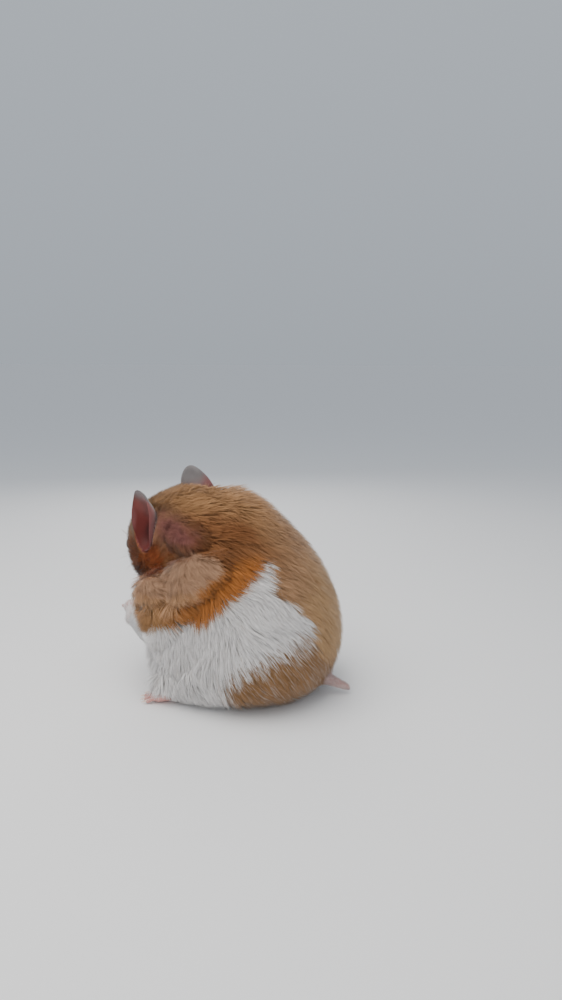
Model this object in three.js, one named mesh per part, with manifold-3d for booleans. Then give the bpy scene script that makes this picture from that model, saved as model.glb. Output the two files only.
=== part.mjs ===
// A life-size Syrian hamster (Mesocricetus auratus), sitting hunched on its haunches with its back
// arched, its forepaws held together under its chin, and its head bowed and turned to its right.
// The solids are the outside of the coat. Units are millimetres. +Z is up, the body faces -Y, and +X is
// the animal's left. The origin is the middle of the bounding box's underside, on the floor.
import * as THREE from "three";
import { mergeVertices } from "three/addons/utils/BufferGeometryUtils.js";
import Module from "manifold-3d";

const wasm = await Module();
wasm.setup();

const point = (x, y, z) => new THREE.Vector3(x, y, z);
const middleOf = (a, b) => a.clone().add(b).divideScalar(2);
const mirrored = (place, side) => point(place.x * side, place.y, place.z);
const SIDES = { left: 1, right: -1 };

// ---------- Driving dimensions ----------
const GAP = 0.35; // clear space between neighbouring solids
const BODY_BLEND = 9; // softness of the joins between the masses of the trunk
const HEAD_BLEND = 4.5; // softness of the joins between the masses of the head
const FLOOR = 0;

const HAUNCH_WIDTH = 78; // across the widest part of the haunches
const SHOULDER_WIDTH = 62;
const BACK_HEIGHT = 89; // floor to the top of the arched back

// Where the skull's middle is, and how far the head is turned right, bowed, and tipped left, in degrees.
const HEAD = { at: point(-2.8, -30.4, 67.5), turn: -46, nod: 35, tilt: 16 };
const SKULL = point(40, 40.5, 33.5); // width, length and height
const CHEEK_WIDTH = 43; // across the full cheeks
const MUZZLE_REACH = 27; // the skull's middle to the tip of the nose
const EYE_RADIUS = 3.3;

const EAR = { width: 16, depth: 6.5, thickness: 1.2 };

// The left legs' joints. The right forepaw is held higher and nearer to the mouth.
const SHOULDER = point(20.5, -11, 49);
const ELBOW = point(23, -27, 28.5);
const WRIST = { left: point(14, -40.5, 31.5), right: point(-15.5, -39.5, 32) };
const KNUCKLES = { left: point(6.5, -46, 33.5), right: point(-10.5, -45.5, 35.5) };
const ARM_RADIUS = { shoulder: 11, elbow: 7.6, wrist: 5 };
const PALM_RADIUS = { wrist: 4, knuckles: 2.6 };
const FINGER_LENGTH = 4.5;
const FINGER_RADIUS = 1.05;
const KNEE = point(23.5, -21.5, 9.5);
const HEEL = point(21.5, -6.5, 4);
const BALL_OF_FOOT = point(24, -24.5, 3);
const SOLE_RADIUS = { heel: 4.4, ball: 2.8 };
const TOE_LENGTH = 6.5;
const TOE_RADIUS = 1.25;
const TAIL_ROOT = point(0, 39, 7);
const TAIL_TIP = point(0, 50, 3.5);
const TAIL_RADIUS = { root: 3.2, tip: 1.7 };

// ---------- Fields: a shape as a function of a point, negative inside and positive outside ----------

// An ellipsoid, turned by a quaternion if one is given.
function ellipsoid(centre, radii, turn) {
  const back = turn ? turn.clone().invert() : null;
  const p = point(0, 0, 0);
  return (at) => {
    p.copy(at).sub(centre);
    if (back) p.applyQuaternion(back);
    const near = Math.hypot(p.x / radii.x, p.y / radii.y, p.z / radii.z);
    const steep = Math.hypot(p.x / radii.x ** 2, p.y / radii.y ** 2, p.z / radii.z ** 2);
    return steep < 1e-9 ? -radii.x : (near * (near - 1)) / steep;
  };
}

// A limb between two joints, with a radius at each.
function limb(from, to, radiusFrom, radiusTo) {
  const along = to.clone().sub(from);
  const p = point(0, 0, 0);
  return (at) => {
    p.copy(at).sub(from);
    const t = THREE.MathUtils.clamp(p.dot(along) / along.lengthSq(), 0, 1);
    return p.addScaledVector(along, -t).length() - THREE.MathUtils.lerp(radiusFrom, radiusTo, t);
  };
}

// The union of some fields, with a fillet of the given softness where they meet.
function blend(softness, ...fields) {
  return (at) =>
    fields.map((field) => field(at)).reduce((a, b) => {
      const h = Math.max(softness - Math.abs(a - b), 0) / softness;
      return Math.min(a, b) - (h * h * softness) / 4;
    });
}

const grown = (field, by = GAP) => (at) => field(at) - by;

// ---------- Solids ----------

// A three.js geometry as a solid that can be cut and joined.
function sharedCorners(geometry) {
  const bare = geometry.clone();
  bare.deleteAttribute("normal");
  bare.deleteAttribute("uv");
  return mergeVertices(bare, 1e-4);
}

function solidOf(geometry) {
  const merged = sharedCorners(geometry);
  return new wasm.Manifold(
    new wasm.Mesh({
      numProp: 3,
      vertProperties: new Float32Array(merged.attributes.position.array),
      triVerts: new Uint32Array(merged.index.array),
    }),
  );
}

// How far the field's surface is from a centre inside it, along a ray.
const MARCH = 0.5;
const HALVINGS = 10;
function reach(field, centre, ray) {
  const p = point(0, 0, 0);
  const at = (t) => field(p.copy(centre).addScaledVector(ray, t));
  let outside = MARCH;
  while (at(outside) < 0) outside += MARCH;
  let inside = outside - MARCH;
  for (let i = 0; i < HALVINGS; i++) {
    const middle = (inside + outside) / 2;
    if (at(middle) < 0) inside = middle;
    else outside = middle;
  }
  return inside;
}

// An icosphere drawn onto a field's surface along rays from a centre.
function wrap(field, centre, detail) {
  const sphere = new THREE.IcosahedronGeometry(1, detail);
  const corners = sphere.attributes.position;
  const ray = point(0, 0, 0);
  for (let i = 0; i < corners.count; i++) {
    ray.fromBufferAttribute(corners, i).normalize();
    const length = reach(field, centre, ray);
    ray.multiplyScalar(length).add(centre);
    corners.setXYZ(i, ray.x, ray.y, ray.z);
  }
  return solidOf(sphere);
}

// The part of a solid on the side of a plane that its normal points to, less some clearance.
const HUGE = 400;
function keepSide(solid, plane, clearance = GAP / 2) {
  const side = new THREE.BoxGeometry(HUGE, HUGE, HUGE).translate(0, 0, HUGE / 2 + clearance);
  side.applyQuaternion(new THREE.Quaternion().setFromUnitVectors(point(0, 0, 1), plane.normal));
  side.translate(plane.at.x, plane.at.y, plane.at.z);
  return solid.intersect(solidOf(side));
}

const planeAt = (at, normal) => ({ at, normal: normal.clone().normalize() });
const flipped = (plane) => ({ at: plane.at, normal: plane.normal.clone().negate() });
const onFloor = (solid) => keepSide(solid, planeAt(point(0, 0, FLOOR), point(0, 0, 1)), 0);
const without = (solid, ...others) => others.reduce((left, other) => left.subtract(other), solid);
const joined = (...solids) => solids.reduce((all, solid) => all.add(solid));

// Stands a shape that runs along +Y from the origin between two points.
function between(base, tip, shape) {
  const along = tip.clone().sub(base).normalize();
  shape.applyQuaternion(new THREE.Quaternion().setFromUnitVectors(point(0, 1, 0), along));
  return solidOf(shape.translate(base.x, base.y, base.z));
}

function cone(base, tip, radius) {
  const length = base.distanceTo(tip);
  return between(base, tip, new THREE.ConeGeometry(radius, length, 5).translate(0, length / 2, 0));
}

function capsule(base, tip, radius) {
  const length = base.distanceTo(tip);
  return between(base, tip, new THREE.CapsuleGeometry(radius, length, 1, 6).translate(0, length / 2, 0));
}

// ---------- Scene graph ----------
const hamster = new THREE.Group();

const material = (color, roughness = 0.8) =>
  new THREE.MeshStandardMaterial({ color, roughness, metalness: 0 });
const coats = {
  golden: material(0xa9703c),
  tan: material(0xb08a66),
  orange: material(0xb5692c),
  cream: material(0xc9ab8f),
  white: material(0xe6e4e6),
  bareSkin: material(0xc98d86, 0.55),
  ear: material(0x8d5a58, 0.6),
  eye: material(0x120b08, 0.08),
};

// A named mesh, placed at the middle of its own box.
function addNode(name, solid, coat) {
  const found = solid.getMesh();
  const geometry = new THREE.BufferGeometry()
    .setAttribute("position", new THREE.BufferAttribute(new Float32Array(found.vertProperties), 3))
    .setIndex(new THREE.BufferAttribute(new Uint32Array(found.triVerts), 1));
  geometry.computeBoundingBox();
  const middle = geometry.boundingBox.getCenter(point(0, 0, 0));
  geometry.translate(-middle.x, -middle.y, -middle.z);
  const mesh = new THREE.Mesh(geometry, coat);
  mesh.name = name;
  mesh.position.copy(middle);
  hamster.add(mesh);
}

// ---------- Head, in its own frame: +X its left, -Y ahead, +Z up ----------
const headTurn = new THREE.Quaternion().setFromEuler(
  new THREE.Euler(
    THREE.MathUtils.degToRad(HEAD.nod),
    THREE.MathUtils.degToRad(HEAD.tilt),
    THREE.MathUtils.degToRad(HEAD.turn),
    "ZXY",
  ),
);
const inHead = (p) => p.clone().applyQuaternion(headTurn).add(HEAD.at);
const headMass = (centre, radii) => ellipsoid(inHead(centre), radii, headTurn);
const onBothSides = (centre, radii) => [1, -1].map((side) => headMass(mirrored(centre, side), radii));

const noseTip = point(0, -MUZZLE_REACH, -3);
const eyePlace = point(13.4, -12.3, 3.8);
const cranium = blend(
  HEAD_BLEND,
  headMass(point(0, 0, 0), SKULL.clone().divideScalar(2)),
  ...onBothSides(point(CHEEK_WIDTH / 2 - 9.5, -2, -6.5), point(9.5, 14, 12)),
  ...onBothSides(point(12, 11, 4), point(6, 8, 8)),
);
const snout = blend(
  HEAD_BLEND,
  headMass(point(0, -12, -1.5), point(11, 12, 10)),
  headMass(noseTip.clone().add(point(0, 8, -0.5)), point(6.6, 7.6, 5.6)),
  ...onBothSides(noseTip.clone().add(point(3.4, 5.4, -2.8)), point(4.4, 4.8, 3.8)),
  headMass(noseTip.clone().add(point(0, 9, -7)), point(4.6, 6.5, 3.2)),
);

// The ear is a bowl. Its rim is egg-shaped, and the bowl is deepest low down, by the ear's canal. A point
// of the unit sphere gives the place in the rim's outline, and its height the side of the wall.
// The ears turn on their own: the left one is laid back, and the right one stands higher.
const EAR_PLACE = {
  1: { notch: point(18, 5, -5.5), tip: point(14.6, 20.5, 15.5), facing: point(0.97, 0.08, 0.12) },
  [-1]: { notch: point(16, 5.4, -4.3), tip: point(14.2, 18.6, 18.4), facing: point(0.83, -0.25, 0.48) },
};
function earSolid(side, margin = 0, filled = false) {
  const { notch, tip } = EAR_PLACE[side];
  const earUp = tip.clone().sub(notch).normalize();
  const sphere = sharedCorners(new THREE.SphereGeometry(1, 12, 8));
  const corners = sphere.attributes.position;
  const p = point(0, 0, 0);
  const facing = EAR_PLACE[side].facing.clone().projectOnPlane(earUp).normalize();
  const ahead = earUp.clone().cross(facing);
  for (let i = 0; i < corners.count; i++) {
    p.fromBufferAttribute(corners, i);
    const inside = Math.max(1 - p.x ** 2 - p.y ** 2, 0);
    const bowl = EAR.depth * Math.pow(inside, 0.7) * (1 - 0.4 * p.y);
    const wall = Math.sign(p.z) * Math.pow(Math.abs(p.z), 0.4) * (EAR.thickness / 2 + margin);
    const across = p.x * (EAR.width / 2 + margin);
    const up = p.y * (tip.distanceTo(notch) / 2 + margin);
    const out = filled && p.z > 0 ? wall : wall - bowl;
    const place = middleOf(tip, notch).addScaledVector(ahead, across);
    place.addScaledVector(earUp, up).addScaledVector(facing, out);
    const world = inHead(mirrored(place, side));
    corners.setXYZ(i, world.x, world.y, world.z);
  }
  if (side < 0) sphere.index.array.reverse();
  return solidOf(sphere);
}

const ball = (centre, radii, turn, rings = 5) => {
  const shape = new THREE.SphereGeometry(1, rings * 2, rings).scale(radii.x, radii.y, radii.z);
  if (turn) shape.applyQuaternion(turn);
  return solidOf(shape.translate(centre.x, centre.y, centre.z));
};
const eyeBall = (side, margin = 0) => {
  const radius = EYE_RADIUS + margin;
  return ball(inHead(mirrored(eyePlace, side)), point(radius, radius, radius), headTurn);
};
const nosePad = (margin = 0) =>
  ball(inHead(noseTip.clone().add(point(0, 1, 0))), point(2.7, 1.9, 2).addScalar(margin), headTurn);

// ---------- Trunk ----------
const haunches = ellipsoid(point(0, 14, 25), point(HAUNCH_WIDTH / 2, 33.4, 31));
const loins = ellipsoid(point(0, 12, 40), point(33, 30.5, 32));
const belly = ellipsoid(point(0, -8, 18), point(32.5, 33, 33));
const ribs = ellipsoid(point(0, -3, 48), point(SHOULDER_WIDTH / 2, 33, BACK_HEIGHT - 48));
const nape = ellipsoid(point(-2, -16, 67), point(22, 20, 21));
const pouches = [
  ellipsoid(point(16, -28, 47), point(12, 13, 11)),
  ellipsoid(point(-15, -24, 48), point(11, 12, 10)),
];
// Loose skin that fills the crook of each elbow, under the pouch.
const crooks = [
  ellipsoid(point(18.5, -28, 39), point(11, 9, 9)),
  ellipsoid(point(-15, -28, 38.5), point(9.5, 8.5, 8.5)),
];
const bodyField = blend(BODY_BLEND, haunches, loins, belly, ribs, nape, ...pouches, ...crooks, cranium);
const headField = blend(HEAD_BLEND, bodyField, snout);

const trunkMiddle = point(0, 4, 42);
const TRUNK_DETAIL = 6;
const HEAD_DETAIL = 6;
const LIMB_DETAIL = 2;

const necklines = [
  planeAt(point(-0.5, -20.5, 66), point(-0.35, -0.76, 0.55)),
  planeAt(point(-0.5, -11.5, 58), point(-0.24, -0.62, 0.75)),
];
const throat = planeAt(inHead(point(0, -18, -14.2)), point(0, 0.25, 1).applyQuaternion(headTurn));
const waist = planeAt(point(0, 3, 38), point(0, -0.45, 0.89));
const loin = planeAt(point(0, 20, 28), point(0, -0.97, 0.24));

// ---------- Legs ----------
const elbowAt = (side) => mirrored(ELBOW, SIDES[side]);
const shoulderAt = (side) => mirrored(SHOULDER, SIDES[side]);
const upperArm = (side) => limb(shoulderAt(side), elbowAt(side), ARM_RADIUS.shoulder, ARM_RADIUS.elbow);
const forearm = (side) => limb(elbowAt(side), WRIST[side], ARM_RADIUS.elbow, ARM_RADIUS.wrist);
const thigh = (side) =>
  blend(6,
    ellipsoid(mirrored(point(26, 8, 19), SIDES[side]), point(13.5, 19, 17.5)),
    ellipsoid(mirrored(point(27, -7, 13), SIDES[side]), point(10, 12, 11)),
    ellipsoid(mirrored(KNEE, SIDES[side]), point(9, 12.5, 9)));

// Digits fan out from the knuckles, each with a claw at its tip.
function digits(count, knuckles, ahead, across, length, radius, drop) {
  const made = [];
  for (let i = 0; i < count; i++) {
    const place = i - (count - 1) / 2;
    const root = knuckles.clone().addScaledVector(across, place * radius * 1.35);
    const towards = ahead.clone().addScaledVector(across, place * 0.2).normalize();
    const shorter = 1 - 0.1 * Math.abs(place) ** 1.5;
    const tip = root.clone().addScaledVector(towards, length * shorter).add(drop);
    const claw = tip.clone().addScaledVector(towards, radius * 2.3).add(drop);
    made.push(capsule(root, tip, radius));
    made.push(cone(tip, claw, radius * 0.62));
  }
  return made;
}

// Where a forepaw ends and its forearm begins. The normal points to the fingers.
const WRIST_REACH = 3.2;
function wristPlane(side) {
  const ahead = KNUCKLES[side].clone().sub(WRIST[side]).normalize();
  return planeAt(WRIST[side].clone().addScaledVector(ahead, WRIST_REACH), ahead);
}

function forepaw(side) {
  const wrist = WRIST[side];
  const knuckles = KNUCKLES[side];
  const ahead = wristPlane(side).normal;
  const across = ahead.clone().cross(point(0, -0.5, 1)).normalize();
  const back = limb(wrist, knuckles, PALM_RADIUS.wrist, PALM_RADIUS.knuckles);
  const palm = blend(2, back, ellipsoid(knuckles, point(3.6, 3, PALM_RADIUS.knuckles)));
  const hand = keepSide(wrap(palm, middleOf(wrist, knuckles), 2), wristPlane(side));
  const root = knuckles.clone().addScaledVector(ahead, 1);
  return joined(hand, ...digits(4, root, ahead, across, FINGER_LENGTH, FINGER_RADIUS, point(0, 0, -0.5)));
}

function hindFoot(side) {
  const heel = mirrored(HEEL, SIDES[side]);
  const ballOfFoot = mirrored(BALL_OF_FOOT, SIDES[side]);
  const ahead = ballOfFoot.clone().sub(heel).normalize();
  const across = ahead.clone().cross(point(0, 0, 1)).normalize();
  const instep = limb(heel, ballOfFoot, SOLE_RADIUS.heel, SOLE_RADIUS.ball);
  const sole = blend(2, instep, ellipsoid(ballOfFoot, point(5.6, 4.6, SOLE_RADIUS.ball + 0.1)));
  const foot = wrap(sole, middleOf(heel, ballOfFoot), 2);
  const root = ballOfFoot.clone().addScaledVector(ahead, 1).add(point(0, 0, -1.2));
  return onFloor(joined(foot, ...digits(5, root, ahead, across, TOE_LENGTH, TOE_RADIUS, point(0, 0, -0.2))));
}

// ---------- Build ----------
const sockets = [nosePad(GAP)];
for (const side of [1, -1]) sockets.push(earSolid(side, GAP, true), eyeBall(side, GAP));

const tailField = limb(TAIL_ROOT, TAIL_TIP, TAIL_RADIUS.root, TAIL_RADIUS.tip);
const tailMiddle = middleOf(TAIL_ROOT, TAIL_TIP);
const limbRooms = [wrap(grown(tailField), tailMiddle, LIMB_DETAIL)];
addNode("tail", wrap(tailField, tailMiddle, LIMB_DETAIL), coats.bareSkin);

for (const [side, sign] of Object.entries(SIDES)) {
  addNode(`ear_${side}`, earSolid(sign), coats.ear);
  addNode(`eye_${side}`, eyeBall(sign), coats.eye);

  const [shoulder, elbow, wrist, knuckles] = [shoulderAt(side), elbowAt(side), WRIST[side], KNUCKLES[side]];
  const arm = (margin) => [
    wrap(grown(upperArm(side), margin), middleOf(shoulder, elbow), LIMB_DETAIL),
    wrap(grown(forearm(side), margin), middleOf(elbow, wrist), LIMB_DETAIL),
  ];
  // Rooms for the paws in the trunk, wider than the paws are.
  const pawRoom = wrap(limb(wrist, knuckles, 5.4, 4.8), middleOf(wrist, knuckles), LIMB_DETAIL);
  const [upper, fore] = arm(0);
  const elbowPlane = planeAt(elbow, wrist.clone().sub(elbow));
  addNode(`upper_arm_${side}`, keepSide(upper, flipped(elbowPlane)), coats.orange);
  addNode(`forearm_${side}`, keepSide(keepSide(fore, elbowPlane), flipped(wristPlane(side))), coats.white);
  addNode(`forepaw_${side}`, forepaw(side), coats.bareSkin);

  const thighMiddle = mirrored(point(26, 2, 18), sign);
  const [heel, ballOfFoot] = [mirrored(HEEL, sign), mirrored(BALL_OF_FOOT, sign)];
  const toes = ballOfFoot.clone().add(point(0, -4, -1.5));
  const footField = blend(2, limb(heel, ballOfFoot, 5.4, 4.4), ellipsoid(toes, point(9, 10.5, 5.2)));
  const footRoom = wrap(footField, middleOf(heel, toes), LIMB_DETAIL);
  const thighWhole = onFloor(wrap(thigh(side), thighMiddle, LIMB_DETAIL + 1));
  addNode(`thigh_${side}`, without(thighWhole, footRoom), coats.tan);
  addNode(`hind_foot_${side}`, hindFoot(side), coats.bareSkin);
  limbRooms.push(...arm(GAP), pawRoom, footRoom);
  limbRooms.push(wrap(grown(thigh(side)), thighMiddle, LIMB_DETAIL + 1));
}

const trunkWhole = onFloor(wrap(bodyField, trunkMiddle, TRUNK_DETAIL));
const headRoom = keepSide(keepSide(trunkWhole, necklines[0], -GAP / 2), throat, -GAP / 2);
const trunk = without(trunkWhole, headRoom, ...sockets, ...limbRooms);
const behindHead = keepSide(trunk, flipped(necklines[0]));
const behindNeck = keepSide(behindHead, flipped(necklines[1]));
const lowerTrunk = keepSide(behindNeck, flipped(waist));
addNode("neck", keepSide(behindHead, necklines[1]), coats.golden);
addNode("chest", keepSide(behindNeck, waist), coats.golden);
addNode("abdomen", keepSide(lowerTrunk, loin), coats.white);
addNode("rump", keepSide(lowerTrunk, flipped(loin)), coats.tan);

const headWhole = keepSide(keepSide(wrap(headField, HEAD.at, HEAD_DETAIL), necklines[0]), throat);
const head = without(headWhole, ...sockets, ...limbRooms);
const face = planeAt(inHead(point(0, -16.5, 0)), point(0, -1, 0).applyQuaternion(headTurn));
const mouth = planeAt(inHead(point(0, -20, -7.6)), point(0, 0.12, 1).applyQuaternion(headTurn));
const muzzle = keepSide(head, face);
addNode("head", keepSide(head, flipped(face)), coats.golden);
addNode("muzzle", keepSide(muzzle, mouth), coats.golden);
addNode("lower_jaw", keepSide(muzzle, flipped(mouth)), coats.cream);
addNode("nose", nosePad(), coats.bareSkin);

const bounds = new THREE.Box3().setFromObject(hamster);
const middle = bounds.getCenter(point(0, 0, 0));
hamster.position.set(-middle.x, -middle.y, -bounds.min.z);

export default hamster;
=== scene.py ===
"""A life-size still model of a golden and white Syrian hamster: skin, coat, ears, face and claws.

Shapes are worked out in millimetres in the animal's own frame (+X its left, -Y ahead, +Z up) and
written to the meshes in metres, moved by SHIFT to where the frame's solids stand.
"""
import math

import bpy
import numpy as np
from mathutils import Euler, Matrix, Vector


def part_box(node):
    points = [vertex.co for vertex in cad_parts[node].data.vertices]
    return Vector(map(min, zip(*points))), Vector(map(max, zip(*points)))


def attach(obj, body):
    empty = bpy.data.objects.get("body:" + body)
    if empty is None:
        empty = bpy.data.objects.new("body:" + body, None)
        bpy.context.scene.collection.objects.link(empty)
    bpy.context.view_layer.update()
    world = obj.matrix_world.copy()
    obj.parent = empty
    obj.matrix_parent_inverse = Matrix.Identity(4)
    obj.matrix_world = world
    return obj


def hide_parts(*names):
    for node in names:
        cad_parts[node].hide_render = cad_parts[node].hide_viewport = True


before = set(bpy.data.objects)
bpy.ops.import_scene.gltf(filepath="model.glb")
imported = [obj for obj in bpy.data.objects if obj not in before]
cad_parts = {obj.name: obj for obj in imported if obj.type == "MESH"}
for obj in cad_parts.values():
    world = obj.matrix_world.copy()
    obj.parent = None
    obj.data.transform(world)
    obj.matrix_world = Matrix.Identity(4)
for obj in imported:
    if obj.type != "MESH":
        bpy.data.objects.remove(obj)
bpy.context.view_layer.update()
rng = np.random.default_rng(1839)

MM = 0.001


def vec(*values):
    """Numbers as an array of floats."""
    return np.array(values, float)


def unit(v):
    """Each vector divided by its length."""
    return v / np.maximum(np.linalg.norm(v, axis=-1, keepdims=True), 1e-9)


def smoothstep(low, high, value):
    """0 below low, 1 above high, and an S-shaped rise between them."""
    t = np.clip((value - low) / (high - low), 0, 1)
    return t * t * (3 - 2 * t)


def mix(a, b, share):
    """a where share is 0 and b where it is 1."""
    return a * (1 - share) + b * share


def mix_rows(a, b, share):
    """mix for colours, places or directions, with one share for each."""
    return mix(a, b, np.asarray(share)[..., None])


# ---------- Measures, in millimetres and degrees, as in the frame's solids ----------
SIDES = {"left": 1, "right": -1}
HEAD_AT = vec(-2.8, -30.4, 67.5)
HEAD_TURN, HEAD_NOD, HEAD_TILT = -46, 35, 16
SKULL = vec(40, 40.5, 33.5) / 2
CHEEK_HALF_WIDTH = 21.5
NOSE_TIP = vec(0, -27, -3)
EYE_AT = vec(13.4, -12.3, 3.8)
EYE_RADIUS = 3.3
BODY_BLEND, THIGH_BLEND, HEAD_BLEND, LIMB_BLEND, TAIL_BLEND = 9, 6, 4.5, 4, 2

SHOULDER = vec(20.5, -11, 49)
ELBOW = vec(23, -27, 28.5)
WRIST = {"left": vec(14, -40.5, 31.5), "right": vec(-15.5, -39.5, 32)}
KNUCKLES = {"left": vec(6.5, -46, 33.5), "right": vec(-10.5, -45.5, 35.5)}
KNEE = vec(23.5, -21.5, 9.5)
HEEL = vec(21.5, -6.5, 4)
BALL_OF_FOOT = vec(24, -24.5, 3)
TAIL_ROOT, TAIL_TIP = vec(0, 39, 7), vec(0, 50, 3.5)

# The radii of each limb at its two ends. The forearm's are those of its coat, the ones that its hair
# lies along, and the ones inside which its hair is white.
UPPER_ARM_RADII = 11, 7.6
FOREARM_RADII, FOREARM_HAIR_RADII, WHITE_SLEEVE_RADII = (7.6, 5), (7, 4.6), (8.6, 7)
PALM_RADII, FOOT_RADII, TAIL_RADII = (4, 2.6), (4.4, 2.8), (3.2, 1.7)
# The thick fur of the nape: its middle, how far it stands up, and how far out its foot and top reach.
RUFF_AT, RUFF_HEIGHT, RUFF_FOOT, RUFF_TOP = vec(-5, -11, 89), 3.8, 15, 2

# Where each ear is notched at its foot, its tip and the way that its bowl faces, all in the head's
# frame for a left ear.
EAR_NOTCH = {"left": vec(18, 5, -5.5), "right": vec(16, 5.4, -4.3)}
EAR_TIP = {"left": vec(14.6, 20.5, 15.5), "right": vec(14.2, 18.6, 18.4)}
EAR_FACING = {"left": vec(0.97, 0.08, 0.12), "right": vec(0.83, -0.25, 0.48)}
EAR_WIDTH, EAR_DEPTH = 16, 6.5

# The head's axes as columns: its own left, back and up, in the animal's frame.
HEAD_AXES = (
    np.array(Euler((0, 0, math.radians(HEAD_TURN))).to_matrix())
    @ np.array(Euler((math.radians(HEAD_NOD), 0, 0)).to_matrix())
    @ np.array(Euler((0, math.radians(HEAD_TILT), 0)).to_matrix())
)


def from_head(p):
    """Places in the head's own frame, turned and moved into the animal's."""
    return p @ HEAD_AXES.T + HEAD_AT


def to_head(p):
    """Places in the animal's frame, moved and turned into the head's own."""
    return (p - HEAD_AT) @ HEAD_AXES


def mirrored(p, side):
    """A place of the left side, on the given side: its X turned round on the right."""
    return p * vec(SIDES[side], 1, 1)


def to_left(p):
    """Points of both sides brought to the left one: the size of X, with Y and Z as they are."""
    return np.abs(p) * vec(1, 0, 0) + p * vec(0, 1, 1)


# The solids were moved as one so that the middle of their box stands on the origin.
_eye_box = [np.array(corner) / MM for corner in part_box("eye_left")]
SHIFT = (_eye_box[0] + _eye_box[1]) / 2 - from_head(EYE_AT)


# ---------- Fields: a shape as a function of points, negative inside ----------
def ellipsoid(p, centre, radii, axes=None):
    """Near the distance to an ellipsoid: k0 (k0 - 1) / k1, where k0 and k1 are the lengths of the
    place divided by the radii and by their squares."""
    q = p - np.asarray(centre, p.dtype)
    if axes is not None:
        q = q @ axes.astype(p.dtype)
    radii = np.asarray(radii, p.dtype)
    near = np.linalg.norm(q / radii, axis=-1)
    steep = np.linalg.norm(q / radii**2, axis=-1)
    return near * (near - 1) / np.maximum(steep, 1e-6)


def head_mass(p, centre, radii):
    """An ellipsoid that is given, and lies square, in the head's own frame."""
    return ellipsoid(p, from_head(vec(*centre)), radii, HEAD_AXES)


def limb(p, start, end, start_radius, end_radius):
    """Distance to the line from start to end, less a radius that changes evenly along it."""
    along = (end - start).astype(p.dtype)
    q = p - start.astype(p.dtype)
    t = np.clip(q @ along / (along @ along), 0, 1)
    radius = start_radius + (end_radius - start_radius) * t
    return np.linalg.norm(q - t[..., None] * along, axis=-1) - radius


def blend(softness, *values):
    """The least of the values, with a fillet of the given softness where two of them are near."""
    least = values[0]
    for value in values[1:]:
        h = np.maximum(softness - np.abs(least - value), 0) / softness
        least = np.minimum(least, value) - h * h * softness / 4
    return least


def both_sides(p, centre, radii):
    """The same ellipsoid of the head's, on its left and on its right."""
    return [head_mass(p, mirrored(vec(*centre), side), radii) for side in SIDES]


def cranium(p):
    """The head without its muzzle: the skull, the two cheeks and a swelling at each ear's root."""
    return blend(
        HEAD_BLEND,
        head_mass(p, (0, 0, 0), SKULL),
        *both_sides(p, (CHEEK_HALF_WIDTH - 9.5, -2, -6.5), (9.5, 14, 12)),
        *both_sides(p, (12, 11, 4), (6, 8, 8)),
    )


def snout(p):
    """The muzzle: its root, the bridge down to the nose, the two whisker pads and the lower jaw."""
    return blend(
        HEAD_BLEND,
        head_mass(p, (0, -12, -1.5), (11, 12, 10)),
        head_mass(p, NOSE_TIP + vec(0, 8, -0.5), (6.6, 7.6, 5.6)),
        *both_sides(p, NOSE_TIP + vec(3.4, 5.4, -2.8), (4.4, 4.8, 3.8)),
        head_mass(p, NOSE_TIP + vec(0, 9, -7), (4.6, 6.5, 3.2)),
    )


def trunk(p):
    """The body: four masses from the belly to the chest, one for the neck and two for each shoulder."""
    return blend(
        BODY_BLEND,
        ellipsoid(p, (0, 14, 25), (39, 33.4, 31)),
        ellipsoid(p, (0, 12, 40), (33, 30.5, 32)),
        ellipsoid(p, (0, -8, 18), (32.5, 33, 33)),
        ellipsoid(p, (0, -3, 48), (31, 33, 41)),
        ellipsoid(p, (-2, -16, 67), (22, 20, 21)),
        ellipsoid(p, (16, -28, 47), (12, 13, 11)),
        ellipsoid(p, (-15, -24, 48), (11, 12, 10)),
        ellipsoid(p, (18.5, -28, 39), (11, 9, 9)),
        ellipsoid(p, (-15, -28, 38.5), (9.5, 8.5, 8.5)),
    )


def off_forearm(p, side, radii):
    """How far points are outside a forearm of the given radii."""
    return limb(p, mirrored(ELBOW, side), WRIST[side], *radii)


def off_tail(p):
    """How far points are outside the tail."""
    return limb(p, TAIL_ROOT, TAIL_TIP, *TAIL_RADII)


def arm(p, side):
    """An upper arm and a forearm, whichever is nearer."""
    upper = limb(p, mirrored(SHOULDER, side), mirrored(ELBOW, side), *UPPER_ARM_RADII)
    return np.minimum(upper, off_forearm(p, side, FOREARM_RADII))


def thigh(p, side):
    """A thigh: the haunch, the mass in front of it and the knee."""
    return blend(
        THIGH_BLEND,
        ellipsoid(p, mirrored(vec(26, 8, 19), side), (13.5, 19, 17.5)),
        ellipsoid(p, mirrored(vec(27, -7, 13), side), (10, 12, 11)),
        ellipsoid(p, mirrored(KNEE, side), (9, 12.5, 9)),
    )


def ruff(p):
    """How far the thick fur of the nape stands up, between the ears and the back."""
    out = np.linalg.norm(p - RUFF_AT.astype(p.dtype), axis=-1)
    return RUFF_HEIGHT * smoothstep(RUFF_FOOT, RUFF_TOP, out)


def coat_surface(p):
    """The outside of the coat: trunk, head, limbs and tail blended into one, and the ruff on it."""
    limbs = [arm(p, side) for side in SIDES] + [thigh(p, side) for side in SIDES]
    body = blend(BODY_BLEND, trunk(p), cranium(p))
    whole = blend(LIMB_BLEND, blend(HEAD_BLEND, body, snout(p)), *limbs)
    return blend(TAIL_BLEND, whole, off_tail(p)) - ruff(p)


# How deep the coat is on each part.
BACK_DEPTH, BELLY_DEPTH, HEAD_DEPTH, MUZZLE_DEPTH = 6.2, 7.2, 2.8, 0.8
MAUVE_DEPTH, CREAM_DEPTH, FOREARM_DEPTH, FOOT_DEPTH, TAIL_DEPTH = 1.5, 3.4, 1.3, 2, 0.75


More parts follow.
